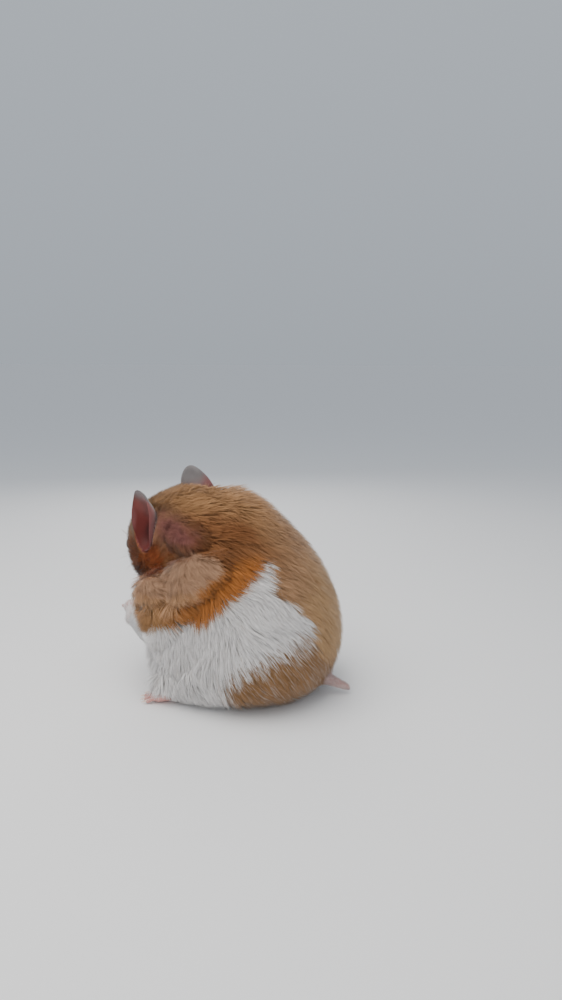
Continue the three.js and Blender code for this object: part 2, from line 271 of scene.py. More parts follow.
def coat_depth(p):
    """How deep the coat is above the skin: most at the belly and the ruff, least on the muzzle, the
    forearms and the tail."""
    head = to_head(p)
    depth = np.full(p.shape[:-1], BACK_DEPTH)
    depth = mix(depth, BELLY_DEPTH, smoothstep(30, 12, p[..., 2]) * smoothstep(-35, 0, p[..., 1]))
    near_head = smoothstep(7, -1, head_mass(p, (0, -2, 0), (19, 22, 17)))
    depth = mix(depth, HEAD_DEPTH, near_head)
    depth = mix(depth, MUZZLE_DEPTH, near_head * smoothstep(-10, -21, head[..., 1]))
    q = both_flanks(p)
    depth = mix(depth, MAUVE_DEPTH, on_line(q, MAUVE_LINE, 6, -2))
    depth = mix(depth, CREAM_DEPTH, on_line(q, CREAM_LINE, 3, -1))
    for side in SIDES:
        near_arm = smoothstep(3, 0, off_forearm(p, side, FOREARM_RADII))
        depth = mix(depth, FOREARM_DEPTH, near_arm * smoothstep(-20, -34, p[..., 1]))
        foot = limb(p, mirrored(HEEL, side), mirrored(BALL_OF_FOOT, side), *FOOT_RADII)
        depth = mix(depth, FOOT_DEPTH, smoothstep(4, 0, foot))
    return mix(depth, TAIL_DEPTH, smoothstep(3, 0, off_tail(p))) + ruff(p)


SKIN_OFF_FLOOR = 0.6


def skin_surface(p):
    """The coat's surface moved in by the coat's depth, and flat a little above the floor."""
    return np.maximum(coat_surface(p) + coat_depth(p), SKIN_OFF_FLOOR - p[..., 2])


def gradient(field, p, step=0.05):
    """The field's rise along X, Y and Z, from its values either side of each point."""
    offsets = step * np.eye(3)
    return np.stack([(field(p + offset) - field(p - offset)) / (2 * step) for offset in offsets], -1)


# ---------- From a field to a mesh ----------
CELL_CORNERS = np.array([(i, j, k) for i in (0, 1) for j in (0, 1) for k in (0, 1)])


def surface_of(field, low, high, pitch):
    """A field's zero surface on a grid of cells. Each cell that it passes through gets one corner, at
    the mean of the places where it crosses the cell's edges, and each crossed edge of the grid gets
    one four-sided face that joins the corners of the four cells round it."""
    counts = np.ceil((high - low) / pitch).astype(int) + 1
    axes = [low[a] + pitch * np.arange(counts[a]) for a in range(3)]
    values = np.empty(counts, np.float32)
    for i, x in enumerate(axes[0]):
        sheet = np.stack(np.meshgrid([x], axes[1], axes[2], indexing="ij"), -1)
        values[i] = field(sheet.astype(np.float32))[0]
    inside = values < 0
    cells = counts - 1
    total = np.zeros((*cells, 3), np.float32)
    crossings = np.zeros(cells, np.float32)

    def at(array, corner):
        """The array's values at the given corner of every cell."""
        return array[tuple(slice(c, c + n) for c, n in zip(corner, cells))]

    for a in CELL_CORNERS:
        for axis in range(3):
            if a[axis]:
                continue
            b = a.copy()
            b[axis] = 1
            va, vb = at(values, a), at(values, b)
            crossed = at(inside, a) != at(inside, b)
            t = np.where(crossed, va / np.where(crossed, va - vb, 1), 0)
            for c in range(3):
                total[..., c] += np.where(crossed, a[c] + (t if c == axis else 0), 0)
            crossings += crossed
    used = crossings > 0
    index = np.full(cells, -1)
    index[used] = np.arange(used.sum())
    corner = np.stack(np.nonzero(used), -1)
    points = low + pitch * (corner + total[used] / crossings[used][:, None])
    faces = []
    for axis in range(3):
        u, v = (axis + 1) % 3, (axis + 2) % 3
        starts, ends = np.delete(inside, -1, axis), np.delete(inside, 0, axis)
        edge = np.stack(np.nonzero(starts != ends), -1)
        edge = edge[(edge[:, u] > 0) & (edge[:, v] > 0) & (edge[:, u] < cells[u]) & (edge[:, v] < cells[v])]
        ring = []
        for du, dv in ((-1, -1), (0, -1), (0, 0), (-1, 0)):
            cell = edge.copy()
            cell[:, u] += du
            cell[:, v] += dv
            ring.append(index[tuple(cell.T)])
        quad = np.stack(ring, -1)
        outward = starts[tuple(edge.T)]
        quad[~outward] = quad[~outward][:, ::-1]
        faces.append(quad)
    return points, np.concatenate(faces)


def drawn_onto(field, points, steps=3):
    """Points moved along the field's rise until they lie on its zero surface."""
    for _ in range(steps):
        rise = gradient(field, points)
        steep = np.maximum((rise**2).sum(-1), 0.05)
        move = (field(points) / steep)[..., None] * rise
        points = points - np.clip(move, -0.5, 0.5)
    return points


def mesh_piece(name, points, faces, smooth=True):
    """A new mesh object from points in millimetres, in the animal's frame, and faces of 3 or 4 corners."""
    mesh = bpy.data.meshes.new(name)
    faces = np.asarray(faces)
    sides = faces.shape[1]
    mesh.vertices.add(len(points))
    mesh.vertices.foreach_set("co", ((points + SHIFT) * MM).astype(np.float32).ravel())
    mesh.loops.add(faces.size)
    mesh.loops.foreach_set("vertex_index", faces.astype(np.int32).ravel())
    mesh.polygons.add(len(faces))
    mesh.polygons.foreach_set("loop_start", np.arange(0, faces.size, sides, dtype=np.int32))
    mesh.polygons.foreach_set("use_smooth", np.full(len(faces), smooth))
    mesh.update(calc_edges=True)
    piece = bpy.data.objects.new(name, mesh)
    bpy.context.scene.collection.objects.link(piece)
    return piece


def paint(piece, colours, name="coat_colour"):
    """A colour for each corner of a piece's mesh."""
    layer = piece.data.color_attributes.new(name, "FLOAT_COLOR", "POINT")
    rgba = np.concatenate([colours, np.ones((len(colours), 1))], 1)
    layer.data.foreach_set("color", rgba.astype(np.float32).ravel())


# ---------- Patterns that change smoothly over the body ----------
def ripples(p, length, seed, waves=9):
    """A soft random pattern, about -1 to 1: the sum of plane waves of about the given length, each in
    a direction of its own."""
    draw = np.random.default_rng(seed)
    total = np.zeros(p.shape[:-1])
    for _ in range(waves):
        direction = unit(draw.normal(size=3)) * 2 * np.pi / (length * draw.uniform(0.7, 1.5))
        total += np.sin(p @ direction + draw.uniform(0, 2 * np.pi))
    return total / np.sqrt(waves / 2) / 1.4


def wander(p, length, seed):
    """Soft random offsets for points: ripples of their own along X, Y and Z."""
    return np.stack([ripples(p, length, seed + axis) for axis in range(3)], -1)


def shade(red, green, blue):
    """A colour given as it looks on a screen, from 0 to 255, in linear light."""
    c = vec(red, green, blue) / 255
    return np.where(c <= 0.04045, c / 12.92, ((c + 0.055) / 1.055) ** 2.4)


WHITE = shade(236, 233, 231)
CREAM = shade(188, 149, 119)
HONEY = shade(206, 160, 120)
GOLDEN = shade(168, 127, 88)
ORANGE = shade(176, 111, 58)
TAN = shade(174, 136, 103)
# Painted shade: the golden coat as it looks in shade, for the flank and the lower haunch.
SHADE_BROWN = shade(124, 73, 42)
FLASH = shade(142, 74, 42)
# Painted shade: the white fur low on the flank and haunch as it looks in shade, in a warm brown.
LOW_SHADE = shade(146, 103, 54)
# Painted light: a paler tan for the rear of the rump, where the lamps' light falls off.
REAR_LIT_TAN = shade(196, 158, 114)
# Orange cheek fur, partly its own colour and partly painted light: lighter where the cheek's underside lies
# in shade.
LIT_CHEEK = shade(176, 99, 56)
PINK = shade(204, 152, 144)
MAUVE = shade(134, 85, 83)
EAR_RED = shade(94, 28, 22)
EAR_PINK = shade(112, 56, 50)
EAR_GREY = shade(102, 98, 98)
# Painted shade: the opening of an ear's canal, nearly black.
EAR_CANAL_SHADE = shade(40, 3, 2)
LID = shade(58, 40, 38)
NOSE_PINK = shade(196, 138, 132)
NOSTRIL = shade(96, 52, 50)
EYE_BLACK = shade(17, 11, 10)
CLAW = shade(226, 204, 190)
WHISKER = shade(214, 206, 198)
FLOOR = 0.85, 0.85, 0.85

# Along each flank, from front to back: how high the white reaches, at places along Y.
WHITE_Y = vec(-60, -36, -27, -16, -3.7, 5.1, 12.1, 15.4, 19.6, 21.6, 25.5, 27.6, 34.7, 39.5, 41.5, 45, 52)
WHITE_Z = vec(30, 30, 30.5, 32, 35.6, 41, 47, 53, 58.7, 61.5, 53.5, 48, 44.5, 33, 24, 12, 0)
# How high the painted shade, in brown, reaches up the white of the lower flank and haunch, at places along
# Y.
LOW_SHADE_Y, LOW_SHADE_Z = vec(4, 20, 42), vec(10, 21, 31)
# Lines of the markings and folds as corners (x, y, z, half the width).
CREAM_LINE = [(25, -33, 49.5, 5), (29, -20, 52.2, 6.6), (29, -9, 57.2, 8.2), (29, 0, 60.5, 5)]
BAND_LINE = [
    (25, -28, 37, 5), (31, -14, 39, 5.5), (34, -2, 44.5, 7),
    (33, 6, 52, 7), (30, 13, 57.5, 6), (26, 20, 64, 4),
]
HONEY_LINE = [(28, -33, 42.5, 4), (30, -19, 43.5, 4), (31, -7, 48, 3)]
FLASH_LINE = [(19, -35, 64, 4), (23, -28, 58.5, 5), (25, -22, 61, 4)]
# Where the cheek's orange is painted lighter, as painted light on its shaded underside.
LIT_CHEEK_LINE = [(12.5, -43.5, 62, 4.2), (16.5, -40, 56, 6.5), (24, -33, 55, 5.5), (25, -30, 57, 4.5)]
TEMPLE_LINE = [(18, -35, 68, 3), (21, -30, 64, 4)]
MAUVE_LINE = [(17, -26, 79, 3), (21, -21, 73, 6), (25, -11, 70, 3)]
DARK_SPOTS = [(20.6, -22, 73.7), (22.8, -15.2, 75)]
# Folds of loose skin, as corners of lines on the flank seen from the side, pressed into the skin and
# darkened with painted shade in the coat. The first is the deepest.
FOLD_HALF_WIDTH, LESSER_FOLD = 0.75, 0.7
FOLDS = [
    [(0, -34, 53, 0), (0, -21, 57.6, 0), (0, -15, 63.6, 0), (0, -5, 66.4, 0)],
    [(0, -31, 46.6, 0), (0, -23, 47.6, 0), (0, -8, 48.6, 0)],
    [(0, -27, 52, 0), (0, -17, 52.6, 0)],
    [(0, -6, 62.9, 0), (0, 2, 61.6, 0)],
    [(0, 1, 70.4, 0), (0, 7, 69.6, 0)],
    [(0, 10, 69.4, 0), (0, 17, 67.6, 0)],
]


def off_line(p, line):
    """How far points are outside a line of straight stretches that has a width at each corner."""
    least = np.full(p.shape[:-1], 1e6)
    for start, end in zip(line[:-1], line[1:]):
        least = np.minimum(least, limb(p, vec(*start[:3]), vec(*end[:3]), start[3], end[3]))
    return least


def on_line(p, line, outer, inner):
    """0 further than outer outside a line, 1 nearer than inner, and an S-shaped rise between them."""
    return smoothstep(outer, inner, off_line(p, line))


def both_flanks(p):
    """The same place on the left for points of either side: mirrored in the head's own frame on the
    head, and in the body's elsewhere."""
    on_head = smoothstep(6, 2, head_mass(p, (0, -3, 0), SKULL)) * smoothstep(40, 46, p[..., 2])
    return mix_rows(to_left(p), from_head(to_left(to_head(p))), on_head)


def folded(p):
    """How deep the folds of loose skin are at each point: exp(-(distance / half width)^2), so 1 in
    the deepest fold and 0 away from them all."""
    q = (p + 0.5 * wander(p, 5, 71)) * vec(0, 1, 1)
    depth = np.zeros(p.shape[:-1])
    for i, line in enumerate(FOLDS):
        strength = 1 if i == 0 else LESSER_FOLD
        depth = np.maximum(depth, strength * np.exp(-((off_line(q, line) / FOLD_HALF_WIDTH) ** 2)))
    return depth * smoothstep(14, 20, np.abs(p[..., 0]))


def back_colour(p, q, z):
    """Golden, tan on the rump and paler towards its rear as painted light, painted shade in brown where the
    flank and the lower haunch are in shade, orange in a band above the white, and dark on the temple."""
    side, y = q[..., 0], q[..., 1]
    # Painted light: the rump's tan made paler towards its rear.
    rump = mix_rows(TAN, REAR_LIT_TAN, 0.8 * smoothstep(28, 44, y))
    colour = mix_rows(GOLDEN, rump, smoothstep(10, 34, y))
    # Painted shade: brown on the flank behind the shoulder and low on the haunch, where they lie in shade.
    shaded = smoothstep(86, 74, z) * smoothstep(50, 62, z) * smoothstep(34, 10, y)
    shaded = shaded * smoothstep(10, 19, side)
    colour = mix_rows(colour, SHADE_BROWN, 0.72 * shaded * smoothstep(-28, -8, y))
    colour = mix_rows(colour, SHADE_BROWN, 0.5 * smoothstep(25, 8, z) * smoothstep(8, 20, y))
    colour = mix_rows(colour, ORANGE, on_line(q, BAND_LINE, 3, -3) * smoothstep(-25, -6, y))
    colour = mix_rows(colour, FLASH, 0.8 * on_line(q, TEMPLE_LINE, 3, -2))
    return colour * (1 + 0.07 * ripples(p, 7, 31))[..., None]


def white_share(p, q, z, stray):
    """1 below the edge of the white, which rises at the middle of the chest, and on the forearms, and
    0 elsewhere."""
    off_head = smoothstep(1, 5, np.minimum(cranium(p), snout(p)))
    middle = 30 * smoothstep(18, 6, q[..., 0]) * smoothstep(-14, -24, p[..., 1]) * off_head
    white = smoothstep(1.3, -1.3, z - np.interp(q[..., 1], WHITE_Y, WHITE_Z) - middle)
    for side in SIDES:
        sleeve = smoothstep(1, -1, off_forearm(p, side, WHITE_SLEEVE_RADII))
        white = np.maximum(white, sleeve * smoothstep(-32.5, -36, p[..., 1] + stray))
    return white


def white_colour(p, q, z, stray):
    """White, turning brown as painted shade low on the flank and haunch, with a ragged upper edge."""
    y = q[..., 1]
    # Painted shade low on the flank and haunch, its upper edge ragged.
    above = z - np.interp(y, LOW_SHADE_Y, LOW_SHADE_Z) - 2.5 * ripples(p, 4, 33)
    low_shade = smoothstep(8, -5, above) * smoothstep(1, 13, y)
    return mix_rows(WHITE, LOW_SHADE, 0.94 * smoothstep(0.28, 0.8, low_shade + 0.45 * stray))


def chin_share(p, head):
    """1 under the jaw and less round the nose, which are white, and 0 elsewhere."""
    y, z = head[..., 1], head[..., 2]
    chin = smoothstep(-4.8, -8, z + 0.25 * (y + 20)) * smoothstep(2, -8, y)
    chin = np.maximum(chin, 0.6 * smoothstep(-18, -24, y) * smoothstep(2, -2.5, z))
    return chin * smoothstep(9, 3, head_mass(p, (0, -3, 0), SKULL))


def coat_colour(p, stray=0.0):
    """The coat's markings at points on its surface, with painted shade in the folds, on the flank and low
    on the haunch, and painted light on the lower cheek and the rear of the rump. They are the same on both
    flanks. A hair that strays, by -1 to 1, takes its colour from a little beyond the border, so the borders
    are ragged."""
    shaken = p + 0.8 * wander(p, 11, 5) + 0.45 * wander(p, 3.5, 15)
    q = both_flanks(shaken)
    z = q[..., 2] + 0.9 * stray
    white = white_share(p, q, z, stray)
    colour = mix_rows(back_colour(p, q, z), white_colour(p, q, z, stray), white)
    colour = mix_rows(colour, HONEY, 0.92 * on_line(q, HONEY_LINE, 3, -2) * (1 - white))
    cream = on_line(q, CREAM_LINE, 1.6, -1.6)
    colour = mix_rows(colour, CREAM, cream * (1 - white))
    colour = mix_rows(colour, FLASH, on_line(q, FLASH_LINE, 3, -2) * (1 - cream))
    mauve = on_line(q, MAUVE_LINE, 6, -4) * mix(1, 0.6, smoothstep(76, 82, z))
    colour = mix_rows(colour, mix_rows(MAUVE, TAN, 0.4 * smoothstep(75, 81, z)), 0.85 * mauve)
    spots = np.minimum(*(np.linalg.norm(q - vec(*spot), axis=-1) for spot in DARK_SPOTS))
    colour = colour * (1 - 0.4 * smoothstep(2.6, 0.8, spots))[..., None]
    colour = mix_rows(colour, WHITE, chin_share(p, to_head(shaken)))
    # Painted light: the lower cheek, which lies in shade, painted a light orange.
    colour = mix_rows(colour, LIT_CHEEK, 0.85 * on_line(q, LIT_CHEEK_LINE, 6, -3) * (1 - cream))
    tail = smoothstep(2, 0, off_tail(p)) * smoothstep(39, 42, p[..., 1])
    colour = mix_rows(colour, mix(WHITE, PINK, 0.6), tail)
    # Painted shade: the coat darker in the folds of loose skin.
    return np.clip(colour * (1 - 0.42 * folded(p))[..., None], 0, 1)


# ---------- Skin ----------
# Each eye's middle and the way that it faces, and the lids' ring: its radius, how far out of the
# eye's middle it lies, and half its thickness.
EYE = {side: from_head(EYE_AT * vec(sign, 1, 1)) for side, sign in SIDES.items()}
EYE_OUT = {side: unit(vec(0.86 * sign, -0.42, 0.28)) @ HEAD_AXES.T for side, sign in SIDES.items()}
LID_RADIUS, LID_RISE, LID_HALF_THICKNESS = 3.12, 1.2, 0.3
# The mound of skin round an eye: how far its middle is behind the eye's, and how much its radius is
# larger.
MOUND_BEHIND, MOUND_OVER = 1.25, 0.62
NOSE_AT = NOSE_TIP + vec(0, 1, 0)
NOSE_RADII = vec(2.7, 1.9, 2)
MOUTH_LINE = [
    (0, -27.6, -4.6, 0), (0, -26.2, -8.2, 0), (2.4, -24.4, -8.9, 0),
    (5.2, -20.4, -8.2, 0), (6.4, -17.6, -8.6, 0),
]
# An ear's hollow goes on a little behind its bowl, so that no skin comes through the bowl.
HOLLOW_BEHIND_BOWL = 0.55


def ear_axes(side):
    """An ear's middle, half its height, and its axes as rows: back, up to the tip, and out of the bowl."""
    notch, tip = EAR_NOTCH[side], EAR_TIP[side]
    up = unit(tip - notch)
    facing = unit(EAR_FACING[side] - (EAR_FACING[side] @ up) * up)
    axes = np.stack([np.cross(up, facing), up, facing]) * vec(SIDES[side], 1, 1)
    middle = from_head(mirrored((tip + notch) / 2, side))
    return middle, np.linalg.norm(tip - notch) / 2, axes @ HEAD_AXES.T


def bowl_depth(x, y):
    """How far the bowl is behind the rim at shares x back and y up of its half width and half height:
    the ear's depth times (1 - x^2 - y^2)^0.7 (1 - 0.4 y)."""
    return EAR_DEPTH * np.maximum(1 - x**2 - y**2, 0) ** 0.7 * (1 - 0.4 * y)


def ear_hollow(p, side):
    """The room in front of an ear: an ellipsoid on its rim, as far back as a little behind the bowl."""
    middle, half, axes = ear_axes(side)
    radii = (0.94 * EAR_WIDTH / 2, half, 1.15 * EAR_DEPTH)
    room = ellipsoid(p, middle - 0.07 * half * axes[1], radii, axes.T)
    x, y, out = np.moveaxis((p - middle) @ axes.T, -1, 0)
    bowl = -out - bowl_depth(x / (EAR_WIDTH / 2), y / half)
    return np.maximum(room, bowl - HOLLOW_BEHIND_BOWL)


def ear_base(p, side):
    """The flesh that an ear stands in: a cup round the lower part of its bowl, open to the front."""
    middle, half, axes = ear_axes(side)
    place = middle - 0.42 * half * axes[1] - 2.6 * axes[2]
    return ellipsoid(p, place, (EAR_WIDTH / 2 + 0.5, 0.62 * half, EAR_DEPTH * 0.72), axes.T)


def lid_ring(p, side):
    """Distance to the circle where the eyelids meet the eye."""
    q = p - (EYE[side] + LID_RISE * EYE_OUT[side])
    rise = q @ EYE_OUT[side]
    spread = np.linalg.norm(q - rise[..., None] * EYE_OUT[side], axis=-1)
    return np.hypot(rise, spread - LID_RADIUS)


def face_skin(p):
    """The skin with the ears' hollows, a low mound round each eye and a lid on its edge."""
    skin = skin_surface(p)
    for side in SIDES:
        skin = blend(2.5, skin, ear_base(p, side))
        skin = -blend(1.2, -skin, ear_hollow(p, side))
        to_mound = np.linalg.norm(p - (EYE[side] - MOUND_BEHIND * EYE_OUT[side]), axis=-1)
        skin = blend(2.2, skin, to_mound - (EYE_RADIUS + MOUND_OVER))
        skin = blend(0.7, skin, lid_ring(p, side) - LID_HALF_THICKNESS)
    return skin


def near_face(p):
    """Where the skin needs a finer mesh than the body's: in front of the ears, down to the chin."""
    head = to_head(p)
    return (head[:, 1] < -5) & (head[:, 2] > -13) & (np.linalg.norm(head, axis=1) < 34)


def near_features(p):
    """Where the eyelids, nose and mouth need the finest mesh."""
    lids = np.minimum(lid_ring(p, "left"), lid_ring(p, "right")) < 1.5
    return lids | (to_head(p)[:, 1] < -19.5)


# The digits of a forepaw and of a hind foot, and the pads under a forepaw's knuckles.
FINGER_LENGTH, FINGER_RADIUS, FINGERS = 4.5, 1.05, 4
TOE_LENGTH, TOE_RADIUS, TOES = 6.5, 1.25, 5
PAD_SPACING, PAD_DROP, PAD_RADIUS = 1.7, 1.9, 0.85


def digit_lines(count, knuckles, ahead, across, length, radius, drop):
    """Where the digits of a paw run, fanned out from the knuckles: root, tip and claw tip of each."""
    place = np.arange(count) - (count - 1) / 2
    towards = unit(ahead + across * place[:, None] * 0.2)
    roots = knuckles + across * (place * radius * 1.35)[:, None]
    tips = roots + towards * (length * (1 - 0.1 * np.abs(place) ** 1.5))[:, None] + drop
    claws = tips + towards * radius * 2.3 + drop
    return roots, tips, claws


def forepaw_plan(side):
    """A forepaw's wrist, knuckles, way across, digit lines and digit radius."""
    wrist, knuckles = WRIST[side], KNUCKLES[side]
    ahead = unit(knuckles - wrist)
    across = unit(np.cross(ahead, vec(0, -0.5, 1)))
    drop = vec(0, 0, -0.5)
    lines = digit_lines(FINGERS, knuckles + ahead, ahead, across, FINGER_LENGTH, FINGER_RADIUS, drop)
    return wrist, knuckles, across, lines, FINGER_RADIUS


def hind_foot_plan(side):
    """A hind foot's heel, ball, way across, digit lines and digit radius."""
    heel, ball = mirrored(HEEL, side), mirrored(BALL_OF_FOOT, side)
    ahead = unit(ball - heel)
    across = unit(np.cross(ahead, vec(0, 0, 1)))
    roots, drop = ball + ahead + vec(0, 0, -1.2), vec(0, 0, -0.2)
    lines = digit_lines(TOES, roots, ahead, across, TOE_LENGTH, TOE_RADIUS, drop)
    return heel, ball, across, lines, TOE_RADIUS


def back_of(plan):
    """The way that the back of a paw faces."""
    return unit(np.cross(plan[2], plan[1] - plan[0]))


def paw_surface(plan, palm_radii, knuckle_radii, on_floor):
    """A paw: palm and knuckles blended, and each digit in three stretches, arched over its middle
    joint and thickest at the joints and the pad of its tip. A forepaw has pads under its knuckles."""
    start, knuckles, across, (roots, tips, _), radius = plan
    back = back_of(plan)

    def field(p):
        """The paw's surface: negative inside, and cut flat at the floor under a hind foot."""
        shape = blend(2, limb(p, start, knuckles, *palm_radii), ellipsoid(p, knuckles, knuckle_radii))
        for root, tip in zip(roots, tips):
            first = mix(root, tip, 0.42) + 0.42 * radius * back
            second = mix(root, tip, 0.74) + 0.25 * radius * back
            digit = blend(
                0.35,
                limb(p, root - 0.2 * radius * back, first, 0.86 * radius, 0.7 * radius),
                limb(p, first, second, 0.62 * radius, 0.62 * radius),
                limb(p, second, tip, 0.56 * radius, 0.72 * radius),
            )
            shape = blend(0.5, shape, digit)
        if on_floor:
            return np.maximum(shape, 0.25 - p[..., 2])
        for place in (-PAD_SPACING, 0, PAD_SPACING):
            pad = knuckles + place * across - PAD_DROP * back
            shape = blend(0.5, shape, np.linalg.norm(p - pad, axis=-1) - PAD_RADIUS)
        return shape

    return field


def refined(points, faces, chosen):
    """Triangles whose corners are all chosen split into four at the middles of their edges, and those
    with two chosen corners into two, so that the mesh stays closed."""
    picked = chosen[faces]
    number = picked.sum(1)
    whole, part = faces[number == 3], faces[number == 2]
    odd = np.argmin(picked[number == 2], 1)
    part = np.take_along_axis(part, (odd[:, None] + np.array([1, 2, 0])) % 3, 1)
    edges = np.concatenate([whole[:, [0, 1]], whole[:, [1, 2]], whole[:, [2, 0]], part[:, [0, 1]]])
    pairs, index = np.unique(np.sort(edges, 1), axis=0, return_inverse=True)
    ab, bc, ca, side = np.split(len(points) + index.ravel(), [len(whole), 2 * len(whole), 3 * len(whole)])
    a, b, c = whole.T
    start, end, apex = part.T
    split = [(a, ab, ca), (ab, b, bc), (ca, bc, c), (ab, bc, ca), (start, side, apex), (side, end, apex)]
    faces = np.concatenate([faces[number < 2]] + [np.stack(corners, -1) for corners in split])
    return np.concatenate([points, points[pairs].mean(1)]), faces


def triangles_of(faces):
    """Four-sided faces as two triangles each."""
    return np.concatenate([faces[:, [0, 1, 2]], faces[:, [0, 2, 3]]])


def sphere_angles(rows, columns):
    """The angles of a grid on a sphere: a down from its pole and b round it."""
    a, b = np.pi * (np.arange(rows) + 0.5) / rows, 2 * np.pi * np.arange(columns) / columns
    return np.meshgrid(a, b, indexing="ij")


def grid_shell(points):
    """Triangles of a closed shell: a grid of rows round a body, whose two ends close on a point each."""
    rows, columns = points.shape[:2]
    ends = np.stack([points[0].mean(0), points[-1].mean(0)])
    here = np.arange(rows * columns).reshape(rows, columns)
    there = np.roll(here, -1, 1)
    body = np.stack([here[:-1], there[:-1], there[1:], here[1:]], -1).reshape(-1, 4)
    first = np.stack([np.full(columns, rows * columns), there[0], here[0]], -1)
    last = np.stack([np.full(columns, rows * columns + 1), here[-1], there[-1]], -1)
    return np.concatenate([points.reshape(-1, 3), ends]), np.concatenate([triangles_of(body), first, last])


def shells_along(lines, across, girth, sides, flatness=1.0):
    """Closed shells, one along each line of places. A shell starts and ends on a point, and at each
    place between them a ring of corners stands round the line, as far off it as its girth there.
    Gives the corners of each shell, the way that each faces, and all the triangles."""
    count, places = lines.shape[:2]
    along = unit(np.gradient(lines, axis=1))
    inner = along[:, 1:-1]
    flat = unit(across[:, None] - (across[:, None] * inner).sum(-1, keepdims=True) * inner)
    up = np.cross(inner, flat)
    turn = 2 * np.pi * (np.arange(sides) / sides + 0.25)
    out = np.cos(turn)[:, None] * flat[:, :, None] + flatness * np.sin(turn)[:, None] * up[:, :, None]
    rings = lines[:, 1:-1, None] + girth[:, :, None, None] * out
    points = np.concatenate([lines[:, :1], rings.reshape(count, -1, 3), lines[:, -1:]], 1)
    facing = np.concatenate([-along[:, :1], out.reshape(count, -1, 3), along[:, -1:]], 1)
    ring = np.arange(sides)
    ahead = (ring + 1) % sides
    levels = 1 + sides * np.arange(places - 2)[:, None]
    sleeve = np.stack([levels + ring, levels + ahead, levels + sides + ahead, levels + sides + ring], -1)
    last = points.shape[1] - 1
    faces = np.concatenate(
        [
            np.stack([0 * ring, 1 + ahead, 1 + ring], -1),
            triangles_of(sleeve[:-1].reshape(-1, 4)),
            np.stack([levels[-1] + ring, levels[-1] + ahead, 0 * ring + last], -1),
        ]
    )
    return points, facing, (faces[None] + (last + 1) * np.arange(count)[:, None, None]).reshape(-1, 3)


def joined(parts):
    """Several shells as one: their points, and their faces counted on."""
    offsets = np.cumsum([0] + [len(points) for points, _ in parts[:-1]])
    return (
        np.concatenate([points for points, _ in parts]),
        np.concatenate([faces + offset for (_, faces), offset in zip(parts, offsets)]),
    )


# The pitch of the grid that each mesh is made on, and the room that each grid covers.
BODY_PITCH, PAW_PITCH, NOSE_PITCH = 1.0, 0.42, 0.14
BODY_LOW, BODY_HIGH = vec(-40, -56, -1), vec(40, 54, 94)
PAW_MARGIN, NOSE_MARGIN = 6.5, 4.2
# How far the mouth's line and the deepest fold are pressed into the skin.
MOUTH_DEPTH, FOLD_DEPTH = 1.2, 1.2

skin_points, skin_faces = surface_of(face_skin, BODY_LOW, BODY_HIGH, BODY_PITCH)
skin_faces = triangles_of(skin_faces)
for needs_finer in (near_face, near_features):
    skin_points, skin_faces = refined(skin_points, skin_faces, needs_finer(skin_points))
skin_points = drawn_onto(face_skin, skin_points, 4)
skin_normals = unit(gradient(face_skin, skin_points))


def furrow(p, line, width):
    """1 along a line of the head's and along its mirror image, and 0 away from them: exp(-(distance /
    width)^2)."""
    return np.exp(-((off_line(to_left(to_head(p)), line) / width) ** 2))


press = MOUTH_DEPTH * furrow(skin_points, MOUTH_LINE, 0.5) + FOLD_DEPTH * folded(skin_points)
skin_points = skin_points - press[:, None] * skin_normals

PAWS = {}
for side in SIDES:
    for kind, plan, palm, knuckle in (
        ("fore", forepaw_plan(side), PALM_RADII, vec(3.6, 3, 2.6)),
        ("hind", hind_foot_plan(side), FOOT_RADII, vec(5.6, 4.6, 2.9)),
    ):
        field = paw_surface(plan, palm, knuckle, kind == "hind")
        spots = np.stack([plan[0], plan[1], *plan[3][2]])
        low, high = spots.min(0) - PAW_MARGIN, spots.max(0) + PAW_MARGIN
        points, quads = surface_of(field, low, high, PAW_PITCH)
        PAWS[f"{kind}_{side}"] = (drawn_onto(field, points, 2), triangles_of(quads), plan, field)

all_skin = joined([(skin_points, skin_faces)] + [paw[:2] for paw in PAWS.values()])
skin = mesh_piece("skin", *all_skin)
is_paw = np.arange(len(all_skin[0])) >= len(skin_points)


# ---------- Coat ----------
def lie(p, normal):
    """Which way the hair lies: back from the nose on the head, towards the knuckles on the forearms,
    and back and down on the body, more steeply down on the breast and towards the belly."""
    head = to_head(p)
    from_nose = unit(head - NOSE_TIP) @ HEAD_AXES.T
    steep = smoothstep(70, 20, p[..., 2])
    ahead = smoothstep(-12, -34, p[..., 1]) * smoothstep(46, 34, p[..., 2])
    ahead = np.maximum(ahead, smoothstep(0, 0.95, -normal[..., 1]) * smoothstep(12, 26, p[..., 2]))
    down = mix(-0.35 - 0.75 * steep, -1.6, ahead)
    back = mix(np.ones_like(down), 0.15, ahead)
    way = np.stack([0.12 * np.sign(p[..., 0]) * (1 - steep), back, down], -1)
    near_head = smoothstep(9, 1, head_mass(p, (0, 0, 0), SKULL))
    way = mix_rows(way, from_nose * 1.2, near_head)
    for side in SIDES:
        near_arm = smoothstep(1.5, -1, off_forearm(p, side, FOREARM_HAIR_RADII))
        near_arm = near_arm * smoothstep(-20, -30, p[..., 1])
        way = mix_rows(way, unit(KNUCKLES[side] - p) * 1.2, near_arm)
    swirl = ripples(p, 13, 51)
    way = unit(way - (way * normal).sum(-1, keepdims=True) * normal)
    return unit(way + 0.22 * swirl[..., None] * np.cross(normal, way))


def on_forearm(p):
    """1 on the forearms, whose hair lies close and points at the paws, and 0 away from them."""
    nearest = np.minimum(*(off_forearm(p, side, FOREARM_HAIR_RADII) for side in SIDES))
    return smoothstep(1.5, -1, nearest) * smoothstep(-22, -30, p[..., 1])


